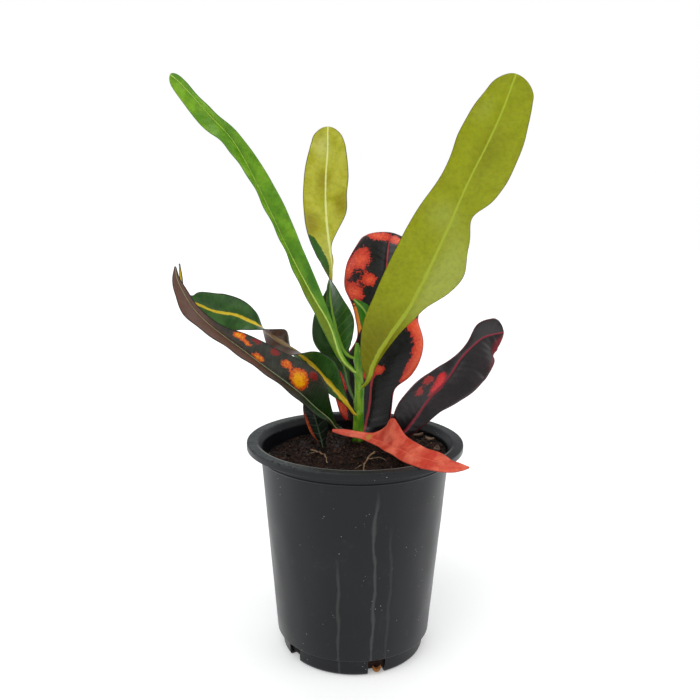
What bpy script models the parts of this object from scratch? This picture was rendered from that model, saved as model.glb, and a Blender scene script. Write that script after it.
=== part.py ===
"""A young croton in a round nursery pot.

The part is modelled at its real size in metres, +Z up. The origin is the centre of the
pot's base on the plane it stands on; -Y is the side the plant is usually looked at from.

The stem stands in the potting mix and every leaf is laid out from the place where its petiole
meets the stem, so the plant rides up and down with the mix. A leaf is one closed blade with
its own petiole, which ends square to the stem, one clearance away from it.
"""

import math
from dataclasses import dataclass

import bmesh
import bpy
from mathutils import Matrix, Vector, noise
from mathutils.bvhtree import BVHTree

MM = 0.001

# Clearance between two pieces that touch in the real object.
GAP = 0.0003

# Nursery pot.
POT_HEIGHT = 0.130
BODY_TOP_RADIUS = 0.0570
BODY_FOOT_RADIUS = 0.0470
RIM_OVERHANG = 0.0080
RIM_FLAT = 0.0065
RIM_SKIRT = 0.0065
RIM_ROUND = 0.0012
FOOT_STEP = 0.0035
FOOT_HEIGHT = 0.0110
FOOT_ROUND = 0.0030
POT_WALL = 0.0013
FLOOR_THICKNESS = 0.0016
POT_SEGMENTS = 60

# Drain slots through the foot.
SLOT_COUNT = 5
SLOT_WIDTH = 0.0105
SLOT_FIRST_AZIMUTH = -71.0
SLOT_HEADROOM = 0.0007
SLOT_REACH_IN = 0.0060

# Potting mix.
MIX_DEPTH_BELOW_RIM = 0.009
MIX_SLOPE = 0.060
MIX_ROUGHNESS = 0.0009
MIX_MOUND = 0.0015
MIX_MOUND_RADIUS = 0.022
MIX_RINGS = 9

# Stem: where it leaves the mix, where it ends, and how thick it is.
STEM_FOOT = (0.0015, 0.0180)
STEM_TOP = (0.0006, 0.0142)
STEM_HEIGHT = 0.0650
STEM_BURIED = 0.0300
STEM_RADIUS = 0.0036
STEM_TOP_RADIUS = 0.0021
STEM_SIDES = 14

# Where the petiole of the low leaf beside the stem goes into the mix, and how deep.
STANDING_LEAF_FOOT = (-0.0195, 0.0140)
STANDING_LEAF_DEPTH = 0.0050

# Leaves.
BLADE_THICKNESS = 0.0008
MARGIN_THICKNESS = 0.0005
PETIOLE_THICKNESS = 0.0026
LEAF_RING_SPACING = 0.0070

# Small things on the mix.
ROOT_RADIUS = 0.0006
ROOT_SIDES = 6

RIM_RADIUS = BODY_TOP_RADIUS + RIM_OVERHANG
FOOT_RADIUS = BODY_FOOT_RADIUS - FOOT_STEP
MIX_LEVEL = POT_HEIGHT - MIX_DEPTH_BELOW_RIM
VIEWED_FROM = Vector((0.0, -1.0, 0.0))


@dataclass(frozen=True)
class Leaf:
    """One leaf.

    stem_share and azimuth say where the petiole meets the stem, as a share of the stem's
    height and in degrees from +X; both are None for a leaf that isn't on the stem. A station
    is (x, y, z, right half, left half, roll, fold) in millimetres and degrees, measured from
    where the leaf starts. With roll 0 the upper side faces the viewing side, and fold lifts
    both halves towards the upper side. petiole is how many stations belong to the petiole,
    with the start on the stem counted as one. blunt leaves end in a round tip.
    """

    name: str
    stem_share: float | None
    azimuth: float | None
    petiole: int
    blunt: bool
    colour: tuple[float, float, float]
    stations: tuple[tuple[float, ...], ...]


LEAVES = (
    Leaf(
        "leaf_left_tall", 0.723, 212.0, 2, True, (0.12, 0.30, 0.05),
        (
            (-8.5, -3.5, 10, 2, 2, 0, 0),
            (-15.5, -6, 30, 2.5, 5.5, -10, 20),
            (-26.5, -8, 49, 6, 5.5, -30, 25),
            (-39.5, -8, 73, 8.5, 9, -50, 35),
            (-50.5, -7, 96, 9.5, 10, -50, 35),
            (-61.5, -5, 118, 8, 10, -45, 35),
            (-72.5, -3, 137, 5.5, 7, -15, 30),
            (-85.5, -1, 151, 5, 8, 20, 30),
            (-96.5, 0, 163, 4, 7, 25, 25),
            (-103.5, 1, 170, 3.5, 5.5, 20, 20),
            (-108.5, 1, 174, 0.5, 0.5, 10, 10),
        ),
    ),
    Leaf(
        "leaf_mid_twisted", 0.854, 170.0, 2, True, (0.38, 0.40, 0.06),
        (
            (-4.5, 0, 2.5, 1.6, 1.6, 0, 0),
            (-7.5, 1, 7.5, 7, 4, 0, 15),
            (-11.5, 3, 19.5, 12.5, 6, 5, 15),
            (-14.5, 6, 36.5, 11.5, 3, 45, 15),
            (-14.5, 9, 54.5, 11, 5, 105, 10),
            (-15.5, 11, 64.5, 10.5, 4, 145, 5),
            (-17.5, 15, 79.5, 13, 6.5, 170, 5),
            (-18.5, 18, 95.5, 14, 11.5, 180, 5),
            (-18.5, 20, 110.5, 13.5, 14, 180, 5),
            (-17.5, 21, 125.5, 11.5, 11.5, 180, 5),
            (-17.5, 21, 132.5, 9.5, 9.5, 180, 5),
            (-17.5, 21, 139.5, 1, 1, 180, 0),
        ),
    ),
    Leaf(
        "leaf_right_big", 0.585, -41.0, 2, True, (0.33, 0.36, 0.03),
        (
            (3.5, -5, 6, 1.6, 1.6, 180, 0),
            (6.5, -9, 17, 9, 2.5, 180, 5),
            (14.5, -15, 33, 17.5, 4, 175, 10),
            (25.5, -21, 51, 21.5, 7.5, 175, 10),
            (35.5, -27, 73, 22, 17.5, 175, 10),
            (45.5, -34, 98, 20, 15, 180, 10),
            (54.5, -41, 122, 14.5, 17.5, 180, 10),
            (62.5, -46, 140, 16.5, 18.5, 185, 10),
            (68.5, -50, 155, 15, 16, 185, 10),
            (72.5, -52, 167, 11, 13, 185, 10),
            (75, -54, 175.5, 1, 1, 185, 0),
        ),
    ),
    Leaf(
        "leaf_back_coral_dark", 0.0846, 62.0, 1, True, (0.05, 0.03, 0.035),
        (
            (2.5, 4, 2.5, 8, 8, 0, 5),
            (3.5, 6, 6.5, 15, 17, 0, 10),
            (5.5, 9, 16.5, 14.5, 22, 0, 10),
            (6.5, 12, 29.5, 16, 23, 0, 10),
            (8.5, 15, 41.5, 26, 20.5, 0, 10),
            (10.5, 19, 56.5, 29.5, 14, 0, 10),
            (11.5, 23, 71.5, 25, 16.5, 0, 10),
            (13.5, 27, 85.5, 25.5, 25.5, 0, 10),
            (15.5, 31, 101.5, 27, 26.5, 0, 10),
            (16.5, 35, 114.5, 22, 21, 0, 10),
            (17.5, 37, 120.5, 16, 15.5, 0, 10),
            (18.5, 38, 125.5, 1, 1, 0, 0),
        ),
    ),
    Leaf(
        "leaf_back_left", 0.446, 165.0, 2, False, (0.03, 0.10, 0.02),
        (
            (-4, 4, 9, 1.5, 1.5, 0, 0),
            (-6, 7, 17, 3, 3, 0, 0),
            (-10, 10, 28, 7, 9, 0, 10),
            (-15, 11, 39, 9, 12, 0, 10),
            (-18, 11, 49, 8.5, 8.5, 0, 10),
            (-18, 11, 59, 5, 4, 0, 10),
            (-17, 11, 68, 0.6, 0.6, 0, 0),
        ),
    ),
    Leaf(
        "leaf_young_tip", 0.923, -8.0, 1, False, (0.08, 0.22, 0.03),
        (
            (4, -0.5, 3, 2, 2, 0, 5),
            (7, -0.5, 10, 5, 5, 0, 10),
            (5, -0.5, 18, 6, 6, 0, 10),
            (1, -0.5, 26, 4, 4, 0, 10),
            (-5, -0.5, 32, 0.6, 0.6, 0, 0),
        ),
    ),
    Leaf(
        "leaf_left_upper", 0.308, 228.0, 2, False, (0.06, 0.18, 0.05),
        (
            (-6, -3.5, 9, 2, 2, 0, 10),
            (-14, -5.5, 19, 7.5, 5, 0, 15),
            (-22, -7.5, 28, 12.5, 5, 0, 15),
            (-30, -9.5, 37, 11, 3.5, 25, 15),
            (-38, -11.5, 43, 8, 7, 90, 10),
            (-47, -13.5, 49, 6, 6, 180, 0),
            (-56, -14.5, 56, 6, 6, 270, 0),
            (-63, -15.5, 60, 7, 6, 335, 10),
            (-71, -17.5, 64, 10.5, 11, 360, 15),
            (-82, -19.5, 66, 12, 12, 360, 15),
            (-91, -21.5, 70, 9, 9, 360, 15),
            (-97, -23.5, 73, 4.5, 4.5, 360, 15),
            (-99.5, -25.5, 79, 1.4, 1.4, 360, 10),
            (-100, -26.5, 87, 0.8, 0.8, 360, 0),
            (-100.5, -27, 94, 0.5, 0.5, 360, 0),
        ),
    ),
    Leaf(
        "leaf_left_spotted", 0.0769, 215.0, 3, False, (0.05, 0.05, 0.04),
        (
            (-4.5, -2.5, 3.5, 1.6, 1.6, 0, 0),
            (-10.5, -6.5, 8.5, 1.7, 1.7, 0, 0),
            (-14.5, -11.5, 15, 3.5, 2.5, -15, 20),
            (-22.5, -16.5, 23, 11, 5.5, -30, 35),
            (-31.5, -21.5, 33, 17, 6, -30, 35),
            (-41.5, -25.5, 42, 16, 5.5, -30, 35),
            (-52.5, -28.5, 51, 13, 5.5, -30, 35),
            (-64.5, -31.5, 61, 10, 6.5, -30, 35),
            (-74.5, -33.5, 69, 5.5, 7, -30, 35),
            (-83.5, -35.5, 77, 3.5, 7, -25, 30),
            (-90.5, -36.5, 85, 3, 7.5, -20, 25),
            (-95.5, -37.5, 94, 2.5, 5, -10, 20),
            (-98.5, -37.5, 101, 1.8, 3, 0, 10),
            (-99.5, -37.5, 108, 0.5, 0.5, 0, 0),
        ),
    ),
    Leaf(
        "leaf_low_front_left", None, None, 2, False, (0.03, 0.06, 0.03),
        (
            (0, 0, 0, 1.4, 1.4, 0, 0),
            (-1, 0, 6.5, 2, 2, 0, 0),
            (-3, 0, 14, 6, 5.5, 0, 10),
            (-5.5, 0, 23, 7.5, 6.5, 0, 10),
            (-8.5, 0, 31, 6, 5, 0, 10),
            (-11, 0, 38, 0.6, 0.6, 0, 0),
        ),
    ),
    Leaf(
        "leaf_right_dark", 0.0923, -3.0, 3, True, (0.06, 0.02, 0.025),
        (
            (6.5, -1, -0.5, 1.6, 1.6, 0, 0),
            (14.5, -1.5, -0.5, 1.7, 1.7, 0, 0),
            (21.5, -1.5, 1, 2.5, 4, 0, 0),
            (26.5, -0.5, 4, 5, 12, 0, 10),
            (33.5, 1.5, 13, 8, 15, 0, 10),
            (40.5, 3.5, 23, 11.5, 14, 0, 10),
            (48.5, 6.5, 31, 15, 12, 0, 10),
            (54.5, 9.5, 38, 18.5, 9, 0, 10),
            (60.5, 12.5, 47, 20.5, 4, 0, 10),
            (68.5, 15.5, 55, 18.5, 4.5, 0, 10),
            (75.5, 18.5, 60, 15, 10.5, 0, 10),
            (82.5, 20.5, 62, 10, 10.5, 0, 10),
            (89, 21.5, 63, 1, 1, 0, 0),
        ),
    ),
)

# The fallen leaf lies across the pot and out over the rim. Its stations are measured from the
# centre of the pot's mouth, and the leaf grows and shrinks with the rim that it lies on: it is
# laid out for the rim radius given here.
FALLEN_LEAF_RIM = 0.0650
FALLEN_LEAF = Leaf(
    "leaf_fallen_coral", None, None, 0, False, (0.70, 0.16, 0.10),
    (
        (-14, 6, 3, 1, 1, 30, 0),
        (-6, 6, 2, 2.5, 2, 40, -5),
        (4, 3, 1, 2.5, 2.5, 45, -5),
        (10, -2, 0.5, 3, 5, 50, 0),
        (14, -7, 0.5, 3.5, 12, 50, 10),
        (17, -12, 1, 4, 16, 50, 15),
        (21, -22, 1.8, 4.5, 11.5, 55, 10),
        (26, -30, 2.3, 5.5, 8.5, 60, 5),
        (33, -43, 3, 6.5, 8, 65, 0),
        (41, -52, 3.6, 7.5, 7.5, 70, 0),
        (48, -61, 3.9, 6, 5.5, 70, 0),
        (55, -63, 3.8, 3, 3, 65, 0),
        (60, -63, 3.7, 0.5, 0.5, 60, 0),
    ),
)

# Small things on the mix are laid out in millimetres for this radius of its surface.
LITTER_RADIUS = 0.0552

# Thin roots lying on the mix, as (x, y).
SURFACE_ROOTS = {
    "surface_root_front": ((12, -5), (8.5, -16), (6, -25.5), (5, -34.5), (4.5, -43)),
    "surface_root_left": ((-27, 5), (-22, -2), (-18, -10), (-16, -20)),
}

# Bark chips, as (x, y, length, width, thickness, turn in degrees).
BARK_CHIPS = {
    "bark_chip_back": (40, 28, 8, 4.5, 1.6, 20),
    "bark_chip_mid": (47, 18, 6, 3.5, 1.6, -35),
    "bark_chip_rim": (49, -3, 9, 4, 1.8, 75),
}
SLOT_CHIP = (5.0, 2.6, 2.4)


def clear_scene() -> None:
    for obj in list(bpy.data.objects):
        bpy.data.objects.remove(obj, do_unlink=True)


def material(name, colour, roughness):
    """A Principled material in the piece's main colour."""
    made = bpy.data.materials.new(name)
    made.use_nodes = True
    shader = made.node_tree.nodes["Principled BSDF"]
    shader.inputs["Base Color"].default_value = (*colour, 1.0)
    shader.inputs["Roughness"].default_value = roughness
    shader.inputs["Metallic"].default_value = 0.0
    return made


def finish(bm, name, colour, roughness):
    """Turns a bmesh into a scene object with outward faces and smooth shading."""
    bmesh.ops.recalc_face_normals(bm, faces=bm.faces)
    mesh = bpy.data.meshes.new(name)
    bm.to_mesh(mesh)
    bm.free()
    mesh.shade_smooth()
    mesh.set_sharp_from_angle(angle=math.radians(40))
    mesh.materials.append(material(name, colour, roughness))
    obj = bpy.data.objects.new(name, mesh)
    bpy.context.scene.collection.objects.link(obj)
    return obj


def turned(profile, segments):
    """A bmesh of the outline (radius, height) turned round Z; it starts and ends on the axis."""
    bm = bmesh.new()
    verts = [bm.verts.new((r, 0.0, z)) for r, z in profile]
    edges = [bm.edges.new(pair) for pair in zip(verts[:-1], verts[1:])]
    bmesh.ops.spin(
        bm,
        geom=verts + edges,
        cent=(0.0, 0.0, 0.0),
        axis=(0.0, 0.0, 1.0),
        angle=math.tau,
        steps=segments,
        use_merge=True,
    )
    bmesh.ops.remove_doubles(bm, verts=bm.verts, dist=1e-6)
    return bm


def cut(obj, cutters) -> None:
    """Cuts every cutter from obj with exact Booleans."""
    for cutter in cutters:
        cutter.hide_render = True
        cutter.display_type = "WIRE"
        boolean = obj.modifiers.new("cut_" + cutter.name, "BOOLEAN")
        boolean.operation = "DIFFERENCE"
        boolean.solver = "EXACT"
        boolean.object = cutter


def body_radius(height: float) -> float:
    """Outer radius of the pot's tapered body."""
    top = POT_HEIGHT - RIM_SKIRT
    share = (height - FOOT_HEIGHT) / (top - FOOT_HEIGHT)
    return BODY_FOOT_RADIUS + (BODY_TOP_RADIUS - BODY_FOOT_RADIUS) * share


def bore_points():
    """The pot's inner surface from the floor's edge up to the mouth, as (radius, height)."""
    foot_bore = FOOT_RADIUS - POT_WALL
    ledge = FOOT_HEIGHT + POT_WALL
    neck = POT_HEIGHT - RIM_SKIRT
    return [
        (foot_bore - FOOT_ROUND * 0.6, FLOOR_THICKNESS),
        (foot_bore - FOOT_ROUND * 0.1, FLOOR_THICKNESS + FOOT_ROUND * 0.6),
        (foot_bore, ledge - 0.0004),
        (foot_bore + 0.0006, ledge),
        (BODY_FOOT_RADIUS - POT_WALL - 0.0006, ledge),
        (body_radius(ledge + 0.0010) - POT_WALL, ledge + 0.0010),
        (body_radius(neck) - POT_WALL, neck),
    ]


def build_pot():
    """The pot: foot, tapered body, and a flat rim with a turned-down skirt."""
    mouth = RIM_RADIUS - RIM_FLAT
    neck = POT_HEIGHT - RIM_SKIRT
    rim_under = POT_HEIGHT - POT_WALL
    profile = [
        (0.0, 0.0),
        (FOOT_RADIUS - FOOT_ROUND, 0.0),
        (FOOT_RADIUS - FOOT_ROUND * 0.3, FOOT_ROUND * 0.3),
        (FOOT_RADIUS, FOOT_ROUND),
        (FOOT_RADIUS, FOOT_HEIGHT),
        (BODY_FOOT_RADIUS - 0.0008, FOOT_HEIGHT),
        (body_radius(FOOT_HEIGHT + 0.0008), FOOT_HEIGHT + 0.0008),
        (body_radius(neck), neck),
        (body_radius(neck) + 0.0006, neck + 0.0020),
        (mouth + 0.0008, rim_under),
        (RIM_RADIUS - POT_WALL, rim_under),
        (RIM_RADIUS - POT_WALL, neck),
        (RIM_RADIUS, neck),
        (RIM_RADIUS, POT_HEIGHT - RIM_ROUND),
        (RIM_RADIUS - RIM_ROUND * 0.3, POT_HEIGHT - RIM_ROUND * 0.3),
        (RIM_RADIUS - RIM_ROUND, POT_HEIGHT),
        (mouth + RIM_ROUND, POT_HEIGHT),
        (mouth + RIM_ROUND * 0.3, POT_HEIGHT - RIM_ROUND * 0.3),
        (mouth, POT_HEIGHT - RIM_ROUND),
    ]
    profile += reversed(bore_points())
    profile.append((0.0, FLOOR_THICKNESS))
    pot = finish(turned(profile, POT_SEGMENTS), "nursery_pot", (0.020, 0.022, 0.025), 0.42)
    cut(pot, [slot_cutter(index) for index in range(SLOT_COUNT)])
    return pot


def slot_azimuth(index: int) -> float:
    return math.radians(SLOT_FIRST_AZIMUTH + 360.0 * index / SLOT_COUNT)


def slot_cutter(index):
    """A box through the foot's wall and the floor's edge, as high as the foot allows."""
    inner = FOOT_RADIUS - POT_WALL - SLOT_REACH_IN
    outer = FOOT_RADIUS + 0.004
    low = -0.002
    high = FOOT_HEIGHT - SLOT_HEADROOM
    bm = bmesh.new()
    bmesh.ops.create_cube(bm, size=1.0)
    bmesh.ops.scale(bm, verts=bm.verts, vec=(outer - inner, SLOT_WIDTH, high - low))
    cutter = finish(bm, f"slot_cutter_{index}", (0.5, 0.5, 0.5), 0.5)
    azimuth = slot_azimuth(index)
    middle = (inner + outer) / 2
    cutter.location = (
        middle * math.cos(azimuth), middle * math.sin(azimuth), (low + high) / 2,
    )
    cutter.rotation_euler = (0.0, 0.0, azimuth)
    return cutter


def mix_height(x: float, y: float) -> float:
    """Height of the crumbly surface of the mix, highest round the stem."""
    away = math.hypot(x - STEM_FOOT[0], y - STEM_FOOT[1])
    mound = MIX_MOUND * math.exp(-((away / MIX_MOUND_RADIUS) ** 2))
    lumps = noise.noise(Vector((x, y, 0.0)) * 90.0) + 0.5 * noise.noise(
        Vector((x, y, 0.01)) * 210.0
    )
    return MIX_LEVEL + MIX_SLOPE * x + mound + MIX_ROUGHNESS * lumps


def build_mix():
    """The potting mix fills the pot up to a lumpy surface, one clearance off the plastic."""
    wall = [(r - GAP, z) for r, z in bore_points() if z < MIX_LEVEL - 0.002]
    wall[0] = (wall[0][0], FLOOR_THICKNESS + GAP)
    wall = [(r, z + (GAP if z > FOOT_HEIGHT else 0.0)) for r, z in wall]
    edge_z = MIX_LEVEL - 0.0015
    edge_r = body_radius(edge_z) - POT_WALL - GAP
    wall.append((edge_r, edge_z))
    rings = [edge_r * (1.0 - k / MIX_RINGS) for k in range(1, MIX_RINGS)]
    bm = bmesh.new()
    made = []
    for r, z in wall + [(r, None) for r in rings]:
        ring = []
        for k in range(POT_SEGMENTS):
            angle = math.tau * k / POT_SEGMENTS
            x, y = r * math.cos(angle), r * math.sin(angle)
            ring.append(bm.verts.new((x, y, mix_height(x, y) if z is None else z)))
        made.append(ring)
    for lower, upper in zip(made[:-1], made[1:]):
        for k in range(POT_SEGMENTS):
            n = (k + 1) % POT_SEGMENTS
            bm.faces.new((lower[k], lower[n], upper[n], upper[k]))
    top = bm.verts.new((0.0, 0.0, mix_height(0.0, 0.0)))
    base = bm.verts.new((0.0, 0.0, wall[0][1]))
    for k in range(POT_SEGMENTS):
        n = (k + 1) % POT_SEGMENTS
        bm.faces.new((made[-1][k], made[-1][n], top))
        bm.faces.new((made[0][n], made[0][k], base))
    mix = finish(bm, "potting_mix", (0.030, 0.020, 0.015), 0.95)
    cut(mix, [stem_hole(), leaf_hole()])
    return mix


def stem_axis(height: float) -> Vector:
    """Point of the stem's centre line at a height above the mix."""
    share = height / STEM_HEIGHT
    bend = 0.0012 * math.sin(math.pi * max(share, 0.0))
    x = STEM_FOOT[0] + (STEM_TOP[0] - STEM_FOOT[0]) * share + bend
    y = STEM_FOOT[1] + (STEM_TOP[1] - STEM_FOOT[1]) * share
    return Vector((x, y, MIX_LEVEL + height))


def stem_radius(height: float) -> float:
    """Radius of the stem, which tapers to its tip above the mix and to a root below it."""
    if height < 0.0:
        return STEM_RADIUS * (1.0 - 0.75 * (-height / STEM_BURIED) ** 1.5)
    share = height / STEM_HEIGHT
    taper = STEM_RADIUS + (STEM_TOP_RADIUS - STEM_RADIUS) * share
    return taper * math.sqrt(max(1.0 - max(share - 0.9, 0.0) * 8.0, 0.04))


def stem_tube(heights, extra):
    """A bmesh tube along the stem, thicker than the stem by extra."""
    bm = bmesh.new()
    rings = []
    for height in heights:
        centre = stem_axis(height)
        radius = stem_radius(height) + extra
        rings.append([
            bm.verts.new((
                centre.x + radius * math.cos(math.tau * k / STEM_SIDES),
                centre.y + radius * math.sin(math.tau * k / STEM_SIDES),
                centre.z,
            ))
            for k in range(STEM_SIDES)
        ])
    join_rings(bm, rings)
    return bm


def join_rings(bm, rings) -> None:
    """Skins neighbouring rings with quads and closes both ends."""
    count = len(rings[0])
    for lower, upper in zip(rings[:-1], rings[1:]):
        for k in range(count):
            n = (k + 1) % count
            bm.faces.new((lower[k], lower[n], upper[n], upper[k]))
    bm.faces.new(reversed(rings[0]))
    bm.faces.new(rings[-1])


def build_stem():
    """The green stem, from its root in the mix to the growing tip."""
    below = [-STEM_BURIED * share for share in (1.0, 0.8, 0.55, 0.3)]
    above = [STEM_HEIGHT * share for share in (0.0, 0.15, 0.3, 0.45, 0.6, 0.75, 0.88, 0.95, 1.0)]
    return finish(stem_tube(below + above, 0.0), "stem", (0.12, 0.28, 0.02), 0.45)


def stem_hole():
    """The cutter that leaves one clearance round the buried stem."""
    below = [-STEM_BURIED * share for share in (0.8, 0.55, 0.3)]
    heights = [-STEM_BURIED - GAP, *below, 0.0, 0.006]
    return finish(stem_tube(heights, GAP), "stem_hole_cutter", (0.5, 0.5, 0.5), 0.5)


def curve_through(points, spacing):
    """Rows at about equal spacing on a Catmull-Rom curve through the given rows."""
    ghost = [
        [2 * a - b for a, b in zip(points[0], points[1])],
        *points,
        [2 * a - b for a, b in zip(points[-1], points[-2])],
    ]
    rows = []
    for index in range(1, len(ghost) - 2):
        run = math.dist(ghost[index][:3], ghost[index + 1][:3])
        steps = max(1, round(run / spacing))
        for step in range(steps):
            rows.append(catmull_rom(ghost[index - 1:index + 3], step / steps))
    rows.append(list(points[-1]))
    return rows


def catmull_rom(four, u):
    return [
        0.5 * (2 * b + (c - a) * u + (2 * a - 5 * b + 4 * c - d) * u**2
               + (3 * b - a - 3 * c + d) * u**3)
        for a, b, c, d in zip(*four)
    ]


def outward(leaf) -> Vector:
    """Level direction in which the leaf leaves the stem."""
    angle = math.radians(leaf.azimuth)
    return Vector((math.cos(angle), math.sin(angle), 0.0))


def leaf_start(leaf) -> Vector:
    """The point that the leaf's stations are measured from."""
    if leaf is FALLEN_LEAF:
        return Vector((0.0, 0.0, POT_HEIGHT))
    if leaf.stem_share is None:
        return Vector((*STANDING_LEAF_FOOT, MIX_LEVEL - STANDING_LEAF_DEPTH))
    height = leaf.stem_share * STEM_HEIGHT
    return stem_axis(height) + outward(leaf) * (stem_radius(height) + GAP)


def leaf_rows(leaf):
    """The leaf's stations in metres, each with half the thickness of the rib there."""
    start = leaf_start(leaf)
    scale = RIM_RADIUS / FALLEN_LEAF_RIM * MM if leaf is FALLEN_LEAF else MM
    rows = []
    if leaf.stem_share is not None:
        half = PETIOLE_THICKNESS / 2
        rows.append([*start, half, half, leaf.stations[0][5], 0.0])
    for x, y, z, right, left, roll, fold in leaf.stations:
        place = start + Vector((x, y, z)) * scale
        rows.append([*place, right * scale, left * scale, roll, fold])
    for index, row in enumerate(rows):
        in_petiole = index < leaf.petiole
        row.append((PETIOLE_THICKNESS if in_petiole else BLADE_THICKNESS) / 2)
    return rows


def blunt_end(last, tip):
    """The rows of a rounded tip between a leaf's last two stations."""
    ends = []
    for share in (0.35, 0.65, 0.87, 0.985):
        row = [a + (b - a) * share for a, b in zip(last, tip)]
        width = math.sqrt(1.0 - share**2)
        row[3] = last[3] * width
        row[4] = last[4] * width
        ends.append(row)
    return ends


def leaf_ring(bm, row, tangent):
    """One cross-section: five points on the upper side and five on the lower."""
    centre = Vector(row[:3])
    right, left = max(row[3], 0.0002), max(row[4], 0.0002)
    roll, fold, half = math.radians(row[5]), math.radians(row[6]), row[7]
    facing = (VIEWED_FROM - VIEWED_FROM.dot(tangent) * tangent).normalized()
    side = tangent.cross(facing)
    margin = min(MARGIN_THICKNESS / 2, half)
    margin = max(margin, half * 0.35)
    between = max(half * 0.8, margin)
    points = []
    for width, angle, turn in ((left, roll + math.pi - fold, -1), (right, roll + fold, 1)):
        along = side * math.cos(angle) + facing * math.sin(angle)
        up = (facing * math.cos(angle) - side * math.sin(angle)) * turn
        points.append((along * width, up * margin))
        points.append((along * width * 0.5, up * between))
    crown = facing * math.cos(roll) - side * math.sin(roll)
    order = (points[0], points[1], (Vector(), crown * half), points[3], points[2])
    upper = [bm.verts.new(centre + place + lift) for place, lift in order]
    lower = [bm.verts.new(centre + place - lift) for place, lift in reversed(order)]
    return upper + lower


def build_leaf(leaf):
    """One leaf: petiole and blade skinned through its stations."""
    stations = leaf_rows(leaf)
    if leaf.blunt:
        rows = curve_through(stations[:-1], LEAF_RING_SPACING)
        rows += blunt_end(stations[-2], stations[-1])
    else:
        rows = curve_through(stations, LEAF_RING_SPACING)
    bm = bmesh.new()
    rings = []
    for index, row in enumerate(rows):
        before = rows[max(index - 1, 0)]
        after = rows[min(index + 1, len(rows) - 1)]
        tangent = (Vector(after[:3]) - Vector(before[:3])).normalized()
        if index == 0 and leaf.stem_share is not None:
            tangent = outward(leaf)
        rings.append(leaf_ring(bm, row, tangent))
    join_rings(bm, rings)
    return finish(bm, leaf.name, leaf.colour, 0.40)


def leaf_hole():
    """The cutter for the hole in which the low leaf's petiole stands."""
    radius = PETIOLE_THICKNESS / 2 + 2 * GAP
    low = -STANDING_LEAF_DEPTH - 0.0015
    high = 0.0060
    bm = bmesh.new()
    bmesh.ops.create_cone(
        bm, cap_ends=True, segments=10, radius1=radius + 0.0004, radius2=radius + 0.0016,
        depth=high - low,
    )
    cutter = finish(bm, "leaf_hole_cutter", (0.5, 0.5, 0.5), 0.5)
    cutter.location = (*STANDING_LEAF_FOOT, MIX_LEVEL + (low + high) / 2)
    return cutter


def litter_scale() -> float:
    """How much wider the surface of the mix is than the one the litter is laid out for."""
    return (body_radius(MIX_LEVEL) - POT_WALL - GAP) / LITTER_RADIUS * MM


def surface_below(tree, x, y):
    """Height of the mix under a point."""
    hit = tree.ray_cast(Vector((x, y, POT_HEIGHT + 0.05)), Vector((0.0, 0.0, -1.0)))[0]
    return hit.z


def build_root(name, line, tree):
    """A thin root lying on the mix."""
    scale = litter_scale()
    rows = curve_through([[x * scale, y * scale, 0.0] for x, y in line], 0.004)
    bm = bmesh.new()
    centres = []
    for index, (x, y, _) in enumerate(rows):
        near = [
            surface_below(tree, x + dx, y + dy)
            for dx in (-0.001, 0.0, 0.001)
            for dy in (-0.001, 0.0, 0.001)
        ]
        rise = 0.0008 * abs(math.sin(1.9 * index))
        centres.append(Vector((x, y, max(near) + ROOT_RADIUS + 2 * GAP + rise)))
    rings = []
    for index, centre in enumerate(centres):
        before = centres[max(index - 1, 0)]
        after = centres[min(index + 1, len(centres) - 1)]
        tangent = (after - before).normalized()
        side = tangent.cross(Vector((0.0, 0.0, 1.0))).normalized()
        top = side.cross(tangent)
        radius = ROOT_RADIUS * (1.0 - 0.5 * index / len(centres))
        rings.append([
            bm.verts.new(
                centre
                + side * radius * math.cos(math.tau * k / ROOT_SIDES)
                + top * radius * math.sin(math.tau * k / ROOT_SIDES)
            )
            for k in range(ROOT_SIDES)
        ])
    join_rings(bm, rings)
    return finish(bm, name, (0.45, 0.33, 0.22), 0.8)


def chip_mesh(length, width, thickness):
    """A flat splinter with tapered ends, centred on the origin."""
    bm = bmesh.new()
    bmesh.ops.create_cube(bm, size=1.0)
    bmesh.ops.scale(bm, verts=bm.verts, vec=(length, width, thickness))
    bmesh.ops.bevel(
        bm, geom=bm.edges[:], offset=thickness * 0.3, segments=1, affect="EDGES",
    )
    for vert in bm.verts:
        share = vert.co.x / length
        vert.co.y *= 1.0 - 0.7 * abs(share)
        vert.co.z += 0.6 * thickness * share * share
    return bm


def build_chip(name, spec, tree):
    """A bark chip resting on the mix."""
    x, y, length, width, thickness, turn = spec
    x, y = x * litter_scale(), y * litter_scale()
    bm = chip_mesh(length * MM, width * MM, thickness * MM)
    angle = math.radians(turn)
    bmesh.ops.rotate(
        bm, verts=bm.verts, cent=(0, 0, 0),
        matrix=Matrix.Rotation(angle, 3, "Z"),
    )
    highest = max(
        surface_below(tree, x + vert.co.x * share, y + vert.co.y * share)
        for vert in bm.verts
        for share in (0.0, 0.35, 0.7, 1.0)
    )
    lowest = min(vert.co.z for vert in bm.verts)
    bmesh.ops.translate(bm, verts=bm.verts, vec=(x, y, highest - lowest + GAP))
    return finish(bm, name, (0.40, 0.28, 0.18), 0.85)


def build_slot_chip():
    """The bit of bark that pokes out of the mix through the drain slot at the front."""
    length, depth, height = (size * MM for size in SLOT_CHIP)
    bm = chip_mesh(length, depth, height)
    azimuth = slot_azimuth(0)
    chip = finish(bm, "bark_chip_slot", (0.30, 0.16, 0.08), 0.85)
    reach = FOOT_RADIUS - POT_WALL + depth / 2
    chip.location = (
        reach * math.cos(azimuth), reach * math.sin(azimuth), FLOOR_THICKNESS + height / 2,
    )
    chip.rotation_euler = (0.0, 0.0, azimuth + math.pi / 2)
    return chip


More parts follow.
